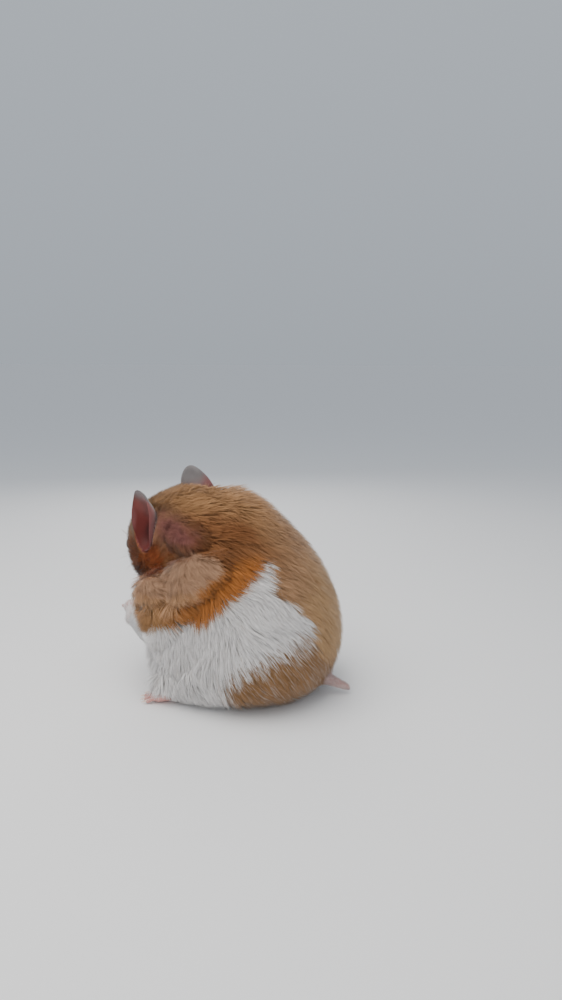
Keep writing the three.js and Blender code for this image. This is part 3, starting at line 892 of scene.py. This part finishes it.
def scattered(points, faces, count, density=None):
    """Points strewn over a surface of triangles, evenly for their area times the density."""
    triangles = points[faces]
    edges = triangles[:, 1:] - triangles[:, :1]
    weight = np.linalg.norm(np.cross(edges[:, 0], edges[:, 1]), axis=1)
    if density is not None:
        weight = weight * density(triangles.mean(1))
    ends = np.cumsum(weight)
    pick = np.searchsorted(ends, rng.uniform(0, ends[-1], count))
    a, b = rng.uniform(size=(2, count, 1))
    flip = a + b > 1
    a, b = np.where(flip, 1 - a, a), np.where(flip, 1 - b, b)
    t = triangles[pick]
    return t[:, 0] + a * (t[:, 1] - t[:, 0]) + b * (t[:, 2] - t[:, 0])


def gathered(roots, tips, size, pull):
    """Tips drawn together in locks: those whose roots share a cell of a loose grid move towards the
    middle of their tips by the given share. Also gives each root's way out from its lock's middle."""
    warped = roots + size * 0.35 * wander(roots, size * 2.5, 61)
    cell = np.floor(warped / size).astype(int)
    _, group = np.unique(cell, axis=0, return_inverse=True)
    group = group.ravel()
    number = np.bincount(group)
    middle_tip = np.stack([np.bincount(group, tips[:, a]) / number for a in range(3)], -1)[group]
    middle_root = np.stack([np.bincount(group, roots[:, a]) / number for a in range(3)], -1)[group]
    return mix(tips, middle_tip, pull), (roots - middle_root) / size


SPINE = {"long": vec(0, 0.32, 0.70, 1), "short": vec(0, 0.42, 1)}
TUFT_SIDES, TUFT_FLATNESS, TUFT_OFF_FLOOR = 3, 0.55, 0.1
# The OFBake map, in shares of its width: the radius of a tuft's patch and the empty margin. The
# corners of a patch are spread by the angle that never repeats, as a sunflower's seeds are.
PATCH_RADIUS, MAP_MARGIN, SEED_ANGLE = 0.0015, 0.01, 2.4


def tufts(name, roots, normal, tips, width, colours, kind, swell):
    """One mesh of many tufts. Each is a closed three-sided blade along a curve that leaves the root
    steeply and bends over to the tip: (1-s)^2 root + 2s(1-s) bend + s^2 tip. It is pointed at both
    ends, and faces mostly the way that the skin does, turned a little by its own roundness and by
    the swell of the lock that it lies in."""
    reach = tips - roots
    rise = (reach * normal).sum(-1, keepdims=True)
    bend = roots + 0.30 * reach + 0.42 * rise * normal
    s = SPINE[kind][None, :, None]
    spine = (1 - s) ** 2 * roots[:, None] + 2 * s * (1 - s) * bend[:, None] + s**2 * tips[:, None]
    girth = 0.5 * width[:, None] * (1 - SPINE[kind][1:-1] ** 2.6)
    across = np.cross(normal, reach)
    points, facing, faces = shells_along(spine, across, girth, TUFT_SIDES, TUFT_FLATNESS)
    points[..., 2] = np.maximum(points[..., 2], TUFT_OFF_FLOOR)
    piece = mesh_piece(name, points.reshape(-1, 3), faces)
    fade = np.append(0, np.append(np.repeat(SPINE[kind][1:-1], TUFT_SIDES), 1))[None, :, None]
    paint(piece, np.clip(colours[:, None] * (0.8 + 0.25 * fade), 0, 1).reshape(-1, 3))
    facing = unit(normal[:, None] + 0.3 * facing + 0.4 * swell[:, None])
    piece.data.normals_split_custom_set_from_vertices(facing.reshape(-1, 3).astype(np.float32))
    unwrap_tufts(piece, roots, points.shape[1], faces)
    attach(piece, "root")
    return piece


def unwrap_tufts(piece, roots, corners, faces):
    """The OFBake map: each tuft is a small round patch of its own. It lies at its root's longitude and
    latitude about the middle of the piece, on an unwrap of the skin's own shape."""
    way = unit(roots - roots.mean(0))
    place = np.stack([np.arctan2(way[:, 1], way[:, 0]) / (2 * np.pi) + 0.5, way[:, 2] / 2 + 0.5], -1)
    place = MAP_MARGIN + (1 - 2 * MAP_MARGIN) * place
    angle = np.arange(corners) * SEED_ANGLE
    spread = np.sqrt(np.arange(corners) / corners) * PATCH_RADIUS
    patch = np.stack([np.cos(angle) * spread, np.sin(angle) * spread], -1)
    uv = (place[:, None] + patch[None]).reshape(-1, 2)
    layer = piece.data.uv_layers.new(name="OFBake")
    layer.data.foreach_set("uv", uv[faces.ravel()].astype(np.float32).ravel())


def short_hair(name, chosen, roots, normal, tips, width, colours):
    """A piece of short tufts of one width, with their roots a little under the skin."""
    parts = [v[chosen] for v in (roots - 0.1 * normal, normal, tips, np.full(len(roots), width), colours)]
    return tufts(name, *parts, "short", np.zeros_like(parts[0]))


def coat_density(p):
    """More and finer hairs where the coat is short and round the eyes and the ears' hollows, fewer on
    the bare patch by the ear, and none under the belly."""
    depth = coat_depth(p) - ruff(p)
    bare = on_line(both_flanks(p), MAUVE_LINE, 4, -2)
    edge = smoothstep(4, 1, near_eye(p)) + 0.6 * smoothstep(4, 1, near_hollow(p))
    return (1 - 0.5 * bare + 1.2 * edge) / (0.25 + depth / 6) ** 1.6 * smoothstep(0.7, 3, p[..., 2])


def near_eye(p):
    """How far points are outside the nearer eye."""
    return np.minimum(*(np.linalg.norm(p - EYE[side], axis=-1) for side in SIDES)) - EYE_RADIUS


def near_hollow(p):
    """How far points are outside the nearer ear's hollow."""
    return np.minimum(*(ear_hollow(p, side) for side in SIDES))


# How far hair keeps off each ear's hollow, the eyes and the nose, and its roots off a hollow.
HOLLOW_GAP, EYE_GAP, NOSE_GAP, ROOT_GAP = 0.1, 0.62, 0.2, 0.35


def clear(p):
    """Whether hair may be at a point: not in an ear's hollow, on an eye, the nose or the mouth."""
    nose = head_mass(p, NOSE_AT, NOSE_RADII)
    open_places = (near_hollow(p) > HOLLOW_GAP) & (near_eye(p) > EYE_GAP) & (nose > NOSE_GAP)
    return open_places & (furrow(p, MOUTH_LINE, 0.75) < 0.4)


# How many tufts are strewn over the body, each ear and each paw, of which those on bare places are
# left out. A lock is as wide as LOCK_SIZE, and a coat deeper than LONG_HAIR counts as long.
COAT_COUNT, EAR_HAIRS, PAW_HAIRS = 150000, 2600, 6000
LOCK_SIZE, LONG_HAIR, TIP_OFF_FLOOR, ROOT_DEPTH = 2.6, 3.6, 0.15, 0.25


def grow_coat(count):
    """The coat's tufts, as rows of values: root, skin's normal, tip, width, colour, swell and depth. A
    tip is the root moved along the way that the hair lies and up by the coat's depth, each by a share
    of its own, then drawn into its lock, back to the coat's surface, and off the bare places."""
    roots = scattered(skin_points, skin_faces, count, coat_density)
    roots = roots[clear(roots) & (near_hollow(roots) > ROOT_GAP)]
    count = len(roots)
    normal = unit(gradient(face_skin, roots))
    way = lie(roots, normal)
    turn = rng.normal(0, 0.13, (count, 1))
    way = unit(way + turn * np.cross(normal, way))
    depth = coat_depth(roots) * smoothstep(-2.5, 3.5, near_eye(roots))
    depth = depth * smoothstep(-1.5, 3, near_hollow(roots))
    length = (0.4 + depth * 1.4) * rng.uniform(0.75, 1.15, count)
    flat = on_forearm(roots)
    height = depth * np.minimum(rng.uniform(0.52, 1.12, count), 1.02) * (1 - 0.55 * flat)
    tips = roots + way * length[:, None] + normal * height[:, None]
    white = smoothstep(0.35, 0.6, coat_colour(roots)[:, 2])
    pull = rng.uniform(0.05, 0.28, count) + 0.12 * white
    tips, swell = gathered(roots, tips, LOCK_SIZE, pull[:, None])
    swell = swell + 1.3 * flat[:, None] * way
    over = coat_surface(tips) - (height - depth)
    tips = tips - np.clip(over, -0.5, 2.5)[:, None] * unit(gradient(coat_surface, tips))
    tips[:, 2] = np.maximum(tips[:, 2], TIP_OFF_FLOOR)
    for _ in range(3):
        tips = np.where(clear(tips)[:, None], tips, mix(roots, tips, 0.6))
    kept = clear(tips)
    width = 0.10 + 0.046 * depth * rng.uniform(0.8, 1.25, count)
    colours = coat_colour(roots + 0.75 * (tips - roots), rng.uniform(-1, 1, count))
    colours = colours * rng.uniform(0.93, 1.07, (count, 1))
    roots = roots - ROOT_DEPTH * normal
    return [values[kept] for values in (roots, normal, tips, width, colours, swell, depth)]


# The coat is parted into pieces where it turns long, at a height and at a place along the back.
HIGH_ABOVE, REAR_BEHIND = 44, 4

*strands, depth = grow_coat(COAT_COUNT)
long_hair = depth > LONG_HAIR
left = strands[0][:, 0] > 0
high = strands[0][:, 2] > HIGH_ABOVE
rear = strands[0][:, 1] > REAR_BEHIND
regions = {
    "shoulder": long_hair & high & ~rear,
    "back": long_hair & high & rear,
    "belly": long_hair & ~high & ~rear,
    "haunch": long_hair & ~high & rear,
    "head": ~long_hair & high,
    "limbs": ~long_hair & ~high,
}
coat = []
for side_name, on_side in (("left", left), ("right", ~left)):
    for region, in_region in regions.items():
        kind = "short" if region in ("head", "limbs") else "long"
        *parts, swell = (values[on_side & in_region] for values in strands)
        coat.append(tufts(f"coat_{region}_{side_name}", *parts, kind, swell))


# Half the thickness of an ear's wall, and the sizes of what bends it, in millimetres.
EAR_HALF_WALL, EAR_RIDGE, REAR_CURL, RIM_CURL, RIM_WAVE = 0.45, 0.28, 1.3, 0.5, 0.25
# How far the red of an ear's rims shows on its outside.
RIM_SHARE = {"left": 1, "right": 0.3}


def ear_shell(side, rows=56, columns=72):
    """An ear: a leaf-shaped bowl. The rows go from the middle of its inside out to the rim, and back
    over its outside. A place at x back and y up of an ellipse, as shares of its half axes, stands
    as far behind the rim as the bowl is deep there. Low ridges run over it, its rear rim curls, and
    its edge waves."""
    a, b = sphere_angles(rows, columns)
    reach, front = np.sin(a), np.cos(a)
    x, y = reach * np.cos(b), reach * np.sin(b)
    wall = np.sign(front) * np.abs(front) ** 0.4 * EAR_HALF_WALL
    ridges = EAR_RIDGE * np.sin(9 * y + 2.5 * x) * smoothstep(0, 0.5, np.abs(front)) * smoothstep(1, 0.2, y)
    rear_curl = REAR_CURL * smoothstep(0.45, 1, x) * smoothstep(0.35, -0.5, y)
    curl = rear_curl - RIM_CURL * smoothstep(0.7, 1, reach) * smoothstep(-0.2, 0.7, y)
    waves = RIM_WAVE * np.sin(4 * b + 1) * smoothstep(0.5, 1, reach)
    middle, half, axes = ear_axes(side)
    leaf = 1 - 0.06 * smoothstep(0.3, 1, y)
    out = wall - bowl_depth(x, y) + ridges + curl + waves
    points, faces = grid_shell(middle + np.stack([x * leaf * EAR_WIDTH / 2, y * half, out], -1) @ axes)
    if SIDES[side] > 0:
        faces = faces[:, ::-1]
    return points, faces, ear_colours(side, x, y, front)


def ear_colours(side, x, y, front):
    """An ear's colours at places x back and y up: pink inside and red lower down, painted shade, nearly
    black, where the canal goes in, mauve outside with reddish rims, and grey towards the tip."""
    # Painted shade: nearly black at the opening of the canal, which the shell does not hollow out.
    deep = np.minimum(1.3 * np.exp(-(((x + 0.15) / 0.42) ** 2) - ((y + 0.47) / 0.28) ** 2), 1)
    inner = mix_rows(EAR_PINK, EAR_RED, smoothstep(0.75, -0.3, y))
    inner = mix_rows(inner, MAUVE, 0.7 * smoothstep(-0.85, -1, x))
    streaks = 1 + 0.14 * np.sin(7 * x + 3 * y**2) * smoothstep(0, 0.6, front)
    inner = mix_rows(inner, EAR_CANAL_SHADE, deep) * streaks[..., None]
    rims = np.maximum(smoothstep(0.55, 0.9, x), smoothstep(-0.65, -0.95, x)) * RIM_SHARE[side]
    outer = mix(MAUVE, EAR_RED, 0.3 * rims[..., None])
    outer = mix_rows(outer, EAR_GREY, smoothstep(-0.1, 0.7, y - 0.9 * rims))
    colours = mix_rows(outer, inner, front > 0)
    colours = mix_rows(colours, EAR_GREY, 0.8 * smoothstep(0.5, 0.92, y - 0.2 * rims))
    return np.concatenate([colours.reshape(-1, 3), [inner[0].mean(0), outer[-1].mean(0)]])


def ear_hair(side, points, faces):
    """Short hair on the back of an ear, as far as 0.77 of the way to its rim and not at its tip. It
    points up, and is between golden and mauve, most mauve at the rear rim, and grey higher up."""
    middle, half, axes = ear_axes(side)
    roots = scattered(points, faces, EAR_HAIRS)
    x, y, out = ((roots - middle) @ axis for axis in axes)
    x, y = x / (EAR_WIDTH / 2), y / half
    chosen = (out < 0.05 - bowl_depth(x, y)) & (x**2 + y**2 < 0.6) & (y < 0.45)
    normal = unit(roots - (middle + 6 * axes[2]))
    up = unit(axes[1] - (normal @ axes[1])[:, None] * normal)
    length = rng.uniform(0.5, 1.0, (len(roots), 1))
    tips = roots + up * length + normal * 0.28 * length
    rim = smoothstep(0.4, 0.8, x)
    tint = mix_rows(GOLDEN, MAUVE, 0.4 + 0.5 * rim)
    tint = mix_rows(tint, EAR_GREY, smoothstep(-0.4, 0.6, y - 0.9 * rim))
    tint = tint * rng.uniform(0.8, 1.15, (len(roots), 1))
    return short_hair(f"ear_hair_{side}", chosen, roots, normal, tips, 0.12, tint)


ears = []
for side in SIDES:
    points, faces, colours = ear_shell(side)
    ear = mesh_piece(f"ear_skin_{side}", points, faces)
    paint(ear, colours)
    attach(ear, "root")
    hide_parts(f"ear_{side}")
    ears.append(ear)
    coat.append(ear_hair(side, points, faces))


# ---------- Eyes, nose, claws and whiskers ----------
def ball(centre, radius, rows=40, columns=56):
    """A sphere as rows round the upright axis: radius (sin a cos b, sin a sin b, cos a)."""
    a, b = sphere_angles(rows, columns)
    way = np.stack([np.sin(a) * np.cos(b), np.sin(a) * np.sin(b), np.cos(a)], -1)
    return grid_shell(centre + radius * way)


eyes = []
for side in SIDES:
    points, faces = ball(EYE[side], EYE_RADIUS)
    eye = mesh_piece(f"eyeball_{side}", points, faces)
    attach(eye, "root")
    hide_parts(f"eye_{side}")
    eyes.append(eye)


def nostrils(p):
    """Two comma-shaped nostrils and the groove down the middle of the nose, as a field."""
    m = to_left(to_head(p) - NOSE_AT)
    inner, bend, outer = vec(0.95, -1.7, 0.1), vec(1.7, -1.2, 0.38), vec(2.45, -0.4, 0)
    nostril = np.minimum(limb(m, inner, bend, 0.5, 0.38), limb(m, bend, outer, 0.36, 0.2))
    nostril = np.minimum(nostril, limb(m, inner, vec(1.15, -0.2, 0.2), 0.48, 0.36))
    return np.minimum(nostril, limb(m, vec(0, -1.95, 0.2), vec(0, -1.9, -3.4), 0.16, 0.3))


def nose_surface(p):
    """The nose pad: an ellipsoid with a keel to the upper lip, less the nostrils and the groove."""
    q = to_head(p) - NOSE_AT
    keel = ellipsoid(q, vec(0, 0, -1.3), vec(1.2, 1.6, 1.8))
    pad = blend(0.6, ellipsoid(q, vec(0, 0, 0), NOSE_RADII), keel)
    return -blend(0.25, -pad + 0.03 * ripples(p, 0.7, 83), nostrils(p))


nose_middle = from_head(NOSE_AT)
low, high = nose_middle - NOSE_MARGIN, nose_middle + NOSE_MARGIN
points, quads = surface_of(nose_surface, low, high, NOSE_PITCH)
points = drawn_onto(nose_surface, points, 2)
nose = mesh_piece("nose_pad", points, triangles_of(quads))
nose_pink = NOSE_PINK * (1 + 0.06 * ripples(points, 1.5, 85))[:, None]
paint(nose, mix_rows(nose_pink, NOSTRIL, smoothstep(0.3, 0.05, nostrils(points))))
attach(nose, "root")
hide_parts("nose")


def claw_lines(plan, places=9):
    """Curved claw lines, from inside each digit's tip out and bending down to the claw's tip: (1-s)^2
    start + 2s(1-s) bend + s^2 tip."""
    roots, tips, points = plan[3]
    radius = plan[4]
    s = np.linspace(0, 1, places)[None, :, None]
    ahead = unit(tips - roots)
    start = tips - 0.4 * radius * ahead
    bend = tips + 0.9 * radius * ahead + vec(0, 0, 0.35 * radius)
    return (1 - s) ** 2 * start[:, None] + 2 * s * (1 - s) * bend[:, None] + s**2 * points[:, None], radius


def tapering_rods(name, lines, across, girth, sides):
    """One mesh of closed rods, one along each line. Its girth is a function of the share of the way
    along a line."""
    s = np.linspace(0, 1, lines.shape[1])[1:-1]
    girths = girth(s) * np.ones((len(lines), 1))
    across = np.broadcast_to(across, (len(lines), 3))
    points, _, faces = shells_along(lines, across, girths, sides)
    return mesh_piece(name, points.reshape(-1, 3), faces)


CLAW_OFF_FLOOR = 0.35

claws = []
for name, (_, _, plan, _) in PAWS.items():
    lines, radius = claw_lines(plan)
    lines[..., 2] = np.maximum(lines[..., 2], CLAW_OFF_FLOOR)
    claw = tapering_rods(f"claws_{name}", lines, plan[2], lambda s: 0.5 * radius * (1 - s**1.6), 10)
    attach(claw, "root")
    claws.append(claw)


# The whiskers on a pad, in rows from its top and columns from the nose, and the girth of each.
PAD_ROWS, PAD_COLUMNS = 4, 5
ROOT_GIRTH, TIP_GIRTH = 0.103, 0.018


def whisker_lines(side, places=12):
    """Whiskers in rows on the pad and two above the eye: each runs out and back and droops, as root +
    s length way + s^2 length droop. Their roots are moved onto the skin."""
    row, column = np.divmod(np.arange(PAD_ROWS * PAD_COLUMNS), PAD_COLUMNS)
    pad = np.stack([4.6 + 0.55 * column, -25.2 + 1.5 * column, -1.6 - 1.25 * row + 0.3 * column], -1)
    brow = np.array([(11.5, -15, 9), (12.2, -13.5, 9.4)])
    roots = np.concatenate([pad, brow]) + rng.normal(0, 0.12, (len(pad) + len(brow), 3))
    length = np.append(11 + 2.8 * column + 1.4 * (PAD_ROWS - 1 - row), [9, 8])[:, None]
    way = unit(np.stack([1 + 0 * column, 0.15 + 0.16 * column, 0.25 - 0.26 * row], -1))
    way = np.concatenate([way, unit(np.array([(0.6, 0.1, 0.8), (0.6, 0.35, 0.75)]))])
    way = unit(way + rng.normal(0, 0.06, way.shape))
    droop = vec(0, 0.34, -0.30) * length
    s = np.linspace(0, 1, places)[None, :, None]
    line = roots[:, None] + way[:, None] * length[:, None] * s + droop[:, None] * s**2
    line = from_head(line * vec(SIDES[side], 1, 1))
    start = drawn_onto(face_skin, line[:, 0].copy(), 6)
    return line + (start - line[:, 0])[:, None]


whiskers = []
for side in SIDES:
    lines = whisker_lines(side)
    across = vec(0.1, 0.2, 1)
    whisker = tapering_rods(f"whiskers_{side}", lines, across, lambda s: mix(ROOT_GIRTH, TIP_GIRTH, s), 5)
    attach(whisker, "root")
    whiskers.append(whisker)


# ---------- Short hair of the paws ----------
def paw_hair(name, points, faces, plan, field):
    """Short pale hair on the back of a paw, thinner and shorter towards the digits' tips. It points
    along the digits."""
    start, digit_tips = plan[0], plan[3][1]
    roots = scattered(points, faces, PAW_HAIRS)
    normal = unit(gradient(field, roots))
    ahead = unit(digit_tips.mean(0) - start)
    reach = ((roots - start) @ ahead) / np.linalg.norm(digit_tips.mean(0) - start)
    kept = (normal @ back_of(plan) > -0.1 + 0.3 * reach) & (skin_surface(roots) > -0.5)
    kept &= rng.uniform(size=len(roots)) < 1.15 - 0.7 * reach
    way = unit(ahead - (normal @ ahead)[:, None] * normal)
    usual = np.interp(reach, (0, 0.5, 1), (2.4, 1.5, 0.7))
    length = rng.uniform(0.75, 1.25, (len(roots), 1)) * usual[:, None]
    tips = roots + way * length + normal * 0.2 * length
    tint = np.broadcast_to(mix(WHITE, PINK, 0.15), roots.shape) * rng.uniform(0.88, 1.06, (len(roots), 1))
    return short_hair(f"paw_hair_{name}", kept, roots, normal, tips, 0.15, tint)


for name, paw in PAWS.items():
    coat.append(paw_hair(name, *paw))

# The solids of the flesh, all of which the skin stands for.
LIMB_PARTS = ("upper_arm", "forearm", "forepaw", "thigh", "hind_foot")
FLESH = [
    "head", "muzzle", "lower_jaw", "neck", "chest", "abdomen", "rump", "tail",
    *[f"{part}_{side}" for part in LIMB_PARTS for side in SIDES],
]


# ---------- Materials ----------
def new_material(name, **constants):
    """A material with one Principled shader, and constants set on its own sockets."""
    material = bpy.data.materials.new(name)
    material.use_nodes = True
    shader = material.node_tree.nodes["Principled BSDF"]
    for socket, value in constants.items():
        shader.inputs[socket.replace("_", " ")].default_value = value
    return material


MOTTLES_PER_METRE = 420


def coat_group():
    """Hair colour: the painted markings times 1 + Mottling x (noise - 0.5), a soft mottling."""
    group = bpy.data.node_groups.new("hair_tint", "ShaderNodeTree")
    face = group.interface
    face.new_socket("Mottling", in_out="INPUT", socket_type="NodeSocketFloat")
    face.new_socket("Colour", in_out="OUTPUT", socket_type="NodeSocketColor")
    nodes, links = group.nodes, group.links
    given, result = nodes.new("NodeGroupInput"), nodes.new("NodeGroupOutput")
    painted = nodes.new("ShaderNodeAttribute")
    painted.attribute_name = "coat_colour"
    place = nodes.new("ShaderNodeTexCoord")
    noise = nodes.new("ShaderNodeTexNoise")
    noise.inputs["Scale"].default_value = MOTTLES_PER_METRE
    noise.inputs["Detail"].default_value = 3
    level = nodes.new("ShaderNodeMath")
    level.operation = "MULTIPLY_ADD"
    level.inputs[2].default_value = 1
    centred = nodes.new("ShaderNodeMath")
    centred.operation = "SUBTRACT"
    centred.inputs[1].default_value = 0.5
    tinted = nodes.new("ShaderNodeVectorMath")
    tinted.operation = "SCALE"
    links.new(place.outputs["Object"], noise.inputs["Vector"])
    links.new(noise.outputs["Fac"], centred.inputs[0])
    links.new(centred.outputs[0], level.inputs[0])
    links.new(given.outputs["Mottling"], level.inputs[1])
    links.new(painted.outputs["Color"], tinted.inputs[0])
    links.new(level.outputs[0], tinted.inputs["Scale"])
    links.new(tinted.outputs[0], result.inputs["Colour"])
    return group


hair_tint = coat_group()


def hair_material(name, mottling, roughness, gloss=0.0):
    """A material that takes its colour from the hair tint, with a soft sheen and the given gloss."""
    material = new_material(
        name, Roughness=roughness, Specular_IOR_Level=gloss, Sheen_Weight=0.25, Sheen_Roughness=0.5
    )
    tree = material.node_tree
    tint = tree.nodes.new("ShaderNodeGroup")
    tint.node_tree = hair_tint
    tint.inputs["Mottling"].default_value = mottling
    tree.links.new(tint.outputs["Colour"], tree.nodes["Principled BSDF"].inputs["Base Color"])
    return material


def plain_material(name, colour, **constants):
    """A material of one colour, given in linear light."""
    return new_material(name, Base_Color=(*colour, 1), **constants)


soft_hair = hair_material("soft_hair", 0.3, 0.7)
short_fur = hair_material("short_fur_skin", 0.6, 0.85)
bare_skin = hair_material("thin_bare_skin", 0.25, 0.5, 0.2)
damp_nose = hair_material("damp_pink_nose", 0.15, 0.36, 0.2)
eye_gloss = plain_material("wet_black_eye", EYE_BLACK, Roughness=0.04, Specular_IOR_Level=0.32)
claw_horn = plain_material("pale_claw_horn", CLAW, Roughness=0.35)
whisker_hair = plain_material("whisker_hair", WHISKER, Roughness=0.4)
pale_floor = plain_material("pale_floor", FLOOR, Roughness=0.9, Specular_IOR_Level=0.1)


def skin_colours(p):
    """The colour of the skin at all its points: the coat's colour a little darker, red round the ears'
    hollows, pink on the paws, the mouth and the tail, and dark on the eyelids' edges."""
    colour = np.clip(coat_colour(p) * 0.85, 0, 1)
    colour = mix_rows(colour, mix(EAR_RED, MAUVE, 0.5), smoothstep(0.7, 0.3, near_hollow(p)))
    tail = smoothstep(2, 0.5, off_tail(p)) * smoothstep(38, 41, p[:, 1])
    bare = np.maximum(np.maximum(is_paw, furrow(p, MOUTH_LINE, 0.7)), tail)
    lid = smoothstep(1.0, 0.5, np.minimum(lid_ring(p, "left"), lid_ring(p, "right")))
    return mix_rows(mix_rows(colour, PINK, bare), LID, lid)


paint(skin, skin_colours(all_skin[0]))
skin.data.materials.append(short_fur)
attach(skin, "root")
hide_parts(*FLESH)
for piece in coat:
    piece.data.materials.append(soft_hair)
for ear in ears:
    ear.data.materials.append(bare_skin)
for eye in eyes:
    eye.data.materials.append(eye_gloss)
nose.data.materials.append(damp_nose)
for claw in claws:
    claw.data.materials.append(claw_horn)
for whisker in whiskers:
    whisker.data.materials.append(whisker_hair)


# ---------- Floor, light and camera ----------
FLOOR_HALF_WIDTH = 9000
LIGHT_COLOUR = 1, 0.955, 0.9
LIT_PLACE = 0, 0, 45
# Each soft light's name, place, width and power.
LIGHTS = [
    ("top_softbox", (120, -60, 420), 420, 1.9),
    ("camera_side_softbox", (520, 120, 260), 360, 0.7),
    ("far_side_softbox", (-380, -160, 300), 300, 0.6),
]
HORIZON, OVERHEAD = (0.432, 0.474, 0.525, 1), (0.52, 0.565, 0.625, 1)
CAMERA_AT, CAMERA_LOOK = (299.9, 98.2, 143.8), (-0.9504, -0.2458, -0.1908)
LENS, SENSOR_HEIGHT, NEAREST_SEEN = 27.18, 36, 0.01


def make_floor():
    """A plain square far wider than the view, at the height of the animal's lowest point."""
    points = FLOOR_HALF_WIDTH * vec(-1, -1, 0, 1, -1, 0, 1, 1, 0, -1, 1, 0).reshape(4, 3)
    floor = mesh_piece("floor", points - SHIFT, np.array([(0, 1, 2, 3)]), smooth=False)
    floor.data.materials.append(pale_floor)


def soft_light(name, place, size, power):
    """A square lamp at a place, turned to the lit place."""
    light = bpy.data.lights.new(name, "AREA")
    light.size = size * MM
    light.energy = power
    light.color = LIGHT_COLOUR
    lamp = bpy.data.objects.new(name, light)
    lamp.location = Vector(place) * MM
    lamp.rotation_euler = (Vector(LIT_PLACE) - Vector(place)).to_track_quat("-Z", "Y").to_euler()
    bpy.context.scene.collection.objects.link(lamp)


def studio_world():
    """Even light from all round, a little brighter overhead than at the horizon, where it meets the
    floor's own brightness."""
    world = bpy.data.worlds.new("studio")
    world.use_nodes = True
    nodes, links = world.node_tree.nodes, world.node_tree.links
    way = nodes.new("ShaderNodeTexCoord")
    parted = nodes.new("ShaderNodeSeparateXYZ")
    rise = nodes.new("ShaderNodeMapRange")
    rise.inputs["From Max"].default_value = 0.5
    tones = nodes.new("ShaderNodeMix")
    tones.data_type = "RGBA"
    tones.inputs["A"].default_value = HORIZON
    tones.inputs["B"].default_value = OVERHEAD
    links.new(way.outputs["Generated"], parted.inputs[0])
    links.new(parted.outputs["Z"], rise.inputs["Value"])
    links.new(rise.outputs["Result"], tones.inputs["Factor"])
    links.new(tones.outputs["Result"], nodes["Background"].inputs["Color"])
    bpy.context.scene.world = world


def place_camera():
    """The camera: on the animal's left, a little behind it and above it, looking down at 11 degrees."""
    data = bpy.data.cameras.new("camera")
    data.lens = LENS
    data.sensor_fit = "VERTICAL"
    data.sensor_height = SENSOR_HEIGHT
    data.clip_start = NEAREST_SEEN
    camera = bpy.data.objects.new("camera", data)
    camera.location = (Vector(CAMERA_AT) + Vector(SHIFT)) * MM
    camera.rotation_euler = Vector(CAMERA_LOOK).to_track_quat("-Z", "Y").to_euler()
    bpy.context.scene.collection.objects.link(camera)
    bpy.context.scene.camera = camera


make_floor()
for name, place, size, power in LIGHTS:
    soft_light(name, place, size, power)
studio_world()
place_camera()
